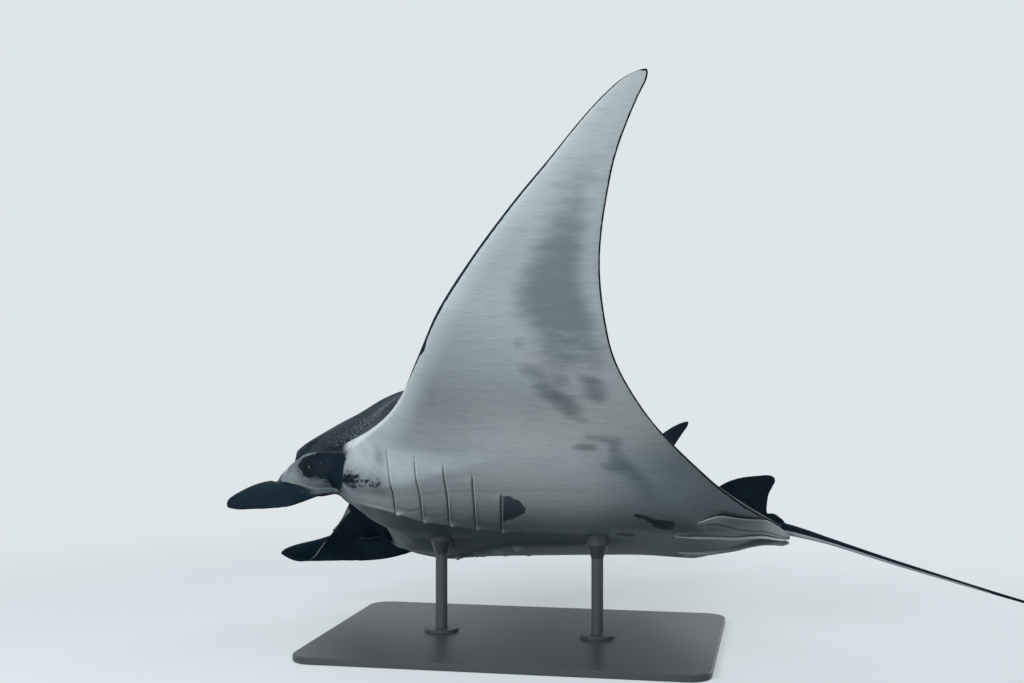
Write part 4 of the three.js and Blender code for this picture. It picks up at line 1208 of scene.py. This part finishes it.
# %% [markdown]
# ## Eye
# A ray's eye is dark and wet: a wide black pupil, a dark blue-grey iris with fine fibres, and a clear skin over both.
# Rings round the eye's axis could be cut as separate pieces. One ball with colours by angle from the axis is
# enough, since the clear skin makes it all one glossy surface.

# %% Wet glossy eyeball
def eye_material():
    """Black pupil out to 19 degrees, a ring of iris to 36, and a darker rim by the lids. The wet cornea over them is
    smooth: it gives the eye one small, tight highlight, where the skin has only a sheen."""
    material, tree, shader = new_material("wet_glossy_eyeball")
    tilt = add(tree, "Attribute", out="Fac", attribute_name="tilt")
    fibres = add(tree, "TexNoise", {"Vector": add(tree, "TexCoord", out="Object"), "Scale": 900, "Detail": 3,
                                    "Roughness": 0.55})                                  # 1 mm
    colour = coats(tree, linear("#111b21"), (fibres, "#263339", 1), (tilt, "#03070a", 1, 24, 19),
                   (tilt, "#0a141a", 1, 36, 44))
    add(tree, shader, {"Base Color": colour, "Roughness": 0.18, "Specular IOR Level": 0.12})
    return material


dress(eye_material(), *eyeballs)

# %% [markdown]
# ## Stand
# A plain stand carries the animal: a flat steel plate and two short rods. Its solids are shown as they are,
# because flat steel needs no finer form. Powder coat is sprayed on dry and baked, which leaves a satin gloss and
# a fine orange-peel relief.

# %% Powder-coated steel
def powder_coat():
    """Dark grey powder coat, with orange peel of about 1.4 mm and a faint unevenness of 170 mm. The peel breaks up
    the lamps into a soft, quiet gloss."""
    material, tree, shader = new_material("satin_powder_coated_steel")
    at = add(tree, "TexCoord", out="Object")
    cloud, peel = (add(tree, "TexNoise", {"Vector": at, "Scale": waves, "Detail": detail, "Roughness": 0.55})
                   for waves, detail in ((6, 3), (700, 2)))
    add(tree, shader, {
        "Base Color": coats(tree, linear("#43474b"), (cloud, "#4b5054", 1)),
        "Roughness": weighted(tree, 0.32, (peel, 0.2)),
        "Normal": add(tree, "Bump", {"Height": peel, "Strength": 0.25, "Distance": 0.0004})})
    return material


coat = powder_coat()
for node in ("stand_base", "stand_rod_front", "stand_rod_rear"):
    for slot in bpy.data.objects[node].material_slots:
        slot.material = coat
print("stand in", coat.name)

# %% [markdown]
# ## Floor and light
# A wide pale floor runs out into a pale sky of even light. A curved paper backdrop could do the same; a flat floor
# that fades into the sky's colour works from every side. A large soft lamp stands high on the camera's side, so
# the wing is bright at its tip and the belly falls into shade, and one behind draws the bright upper edges.

# %% Floor and sky
BACKDROP = linear("#dfe6ea")
FADE_FROM, FADE_TO = 2.1, 4.5                  # metres from the middle, over which the floor turns to backdrop


def show_both(tree, output, plain, backdrop):
    """Backdrop for rays from the camera, gloss and glass, the plain shader for all light that bounces."""
    seen = 0
    for ray in ("Camera", "Glossy", "Transmission"):
        seen = add(tree, "Math", {0: add(tree, "LightPath", out=f"Is {ray} Ray"), 1: seen}, operation="MAXIMUM")
    add(tree, tree.nodes[output], {"Surface": add(tree, "MixShader", {0: seen, 1: plain, 2: backdrop})})


floor_mesh = bpy.data.meshes.new("floor")
floor_mesh.from_pydata([(x, y, -0.001) for x, y in ((-60, -60), (60, -60), (60, 60), (-60, 60))], [], [(0, 1, 2, 3)])
floor = placed("floor", floor_mesh)
matt, tree, shader = new_material("matt_pale_floor")    # emulsion paint: no highlight, only the stand's shadow
at = add(tree, "TexCoord", out="Object")
cloud = add(tree, "TexNoise", {"Vector": at, "Scale": 0.6, "Detail": 2, "Roughness": 0.55})     # 1.7 m
add(tree, shader, {"Base Color": coats(tree, linear("#b6bec2"), (cloud, "#bcc4c8", 1)), "Roughness": 0.9})
lit = add(tree, "AddShader", {0: shader.outputs[0], 1: add(tree, "Emission", {"Color": BACKDROP, "Strength": 0.5})})
distance = add(tree, "VectorMath", {0: at}, out="Value", operation="LENGTH")
fade = add(tree, "MapRange", {"Value": distance, "From Min": FADE_FROM, "From Max": FADE_TO},
           interpolation_type="SMOOTHSTEP")
faded = add(tree, "MixShader", {0: fade, 1: lit, 2: add(tree, "Emission", {"Color": BACKDROP})})
show_both(tree, "Material Output", add(tree, "BsdfDiffuse", {"Color": linear("#545e63")}), faded)
dress(matt, floor)

world = bpy.data.worlds.new("studio")
bpy.context.scene.world = world
world.use_nodes = True
tree = world.node_tree
show_both(tree, "World Output", add(tree, "Background", {"Color": linear("#d3d9dc"), "Strength": 0.3}),
          add(tree, "Background", {"Color": BACKDROP}))

# %% [markdown]
# ## Lamps
# Square area lamps are the softboxes of a studio. Sun or point lamps would draw hard shadows on a body that is
# known from soft light, so three large ones are used: key, rim and a weak one for the far side.

# %% Lamps
def soft_lamp(name, size, power, location, target):
    """Square area lamp of a size in metres and a power in watts, turned from its place towards a target."""
    lamp = placed(name, bpy.data.lights.new(name, "AREA"))
    lamp.data.size, lamp.data.energy = size, power
    lamp.location = location
    aim = np.array(target) - np.array(location)
    lamp.rotation_euler = (np.arccos(-aim[2] / np.linalg.norm(aim)), 0, np.arctan2(aim[0], -aim[1]) + np.pi)
    print(name, "lamp", round(float(np.linalg.norm(aim)), 2), "m from its target")


soft_lamp("key", 2.4, 210, (5.0, -1.7, 3.0), (0.5, 0.1, 1.5))
soft_lamp("rim", 2.6, 34, (-2.6, -3.2, 5.6), (0, -0.5, 0.9))
soft_lamp("far_side", 3.0, 110, (-5.5, 3.0, 3.4), (0, 0.2, 1.0))
bpy.context.scene.view_settings.view_transform = "Standard"
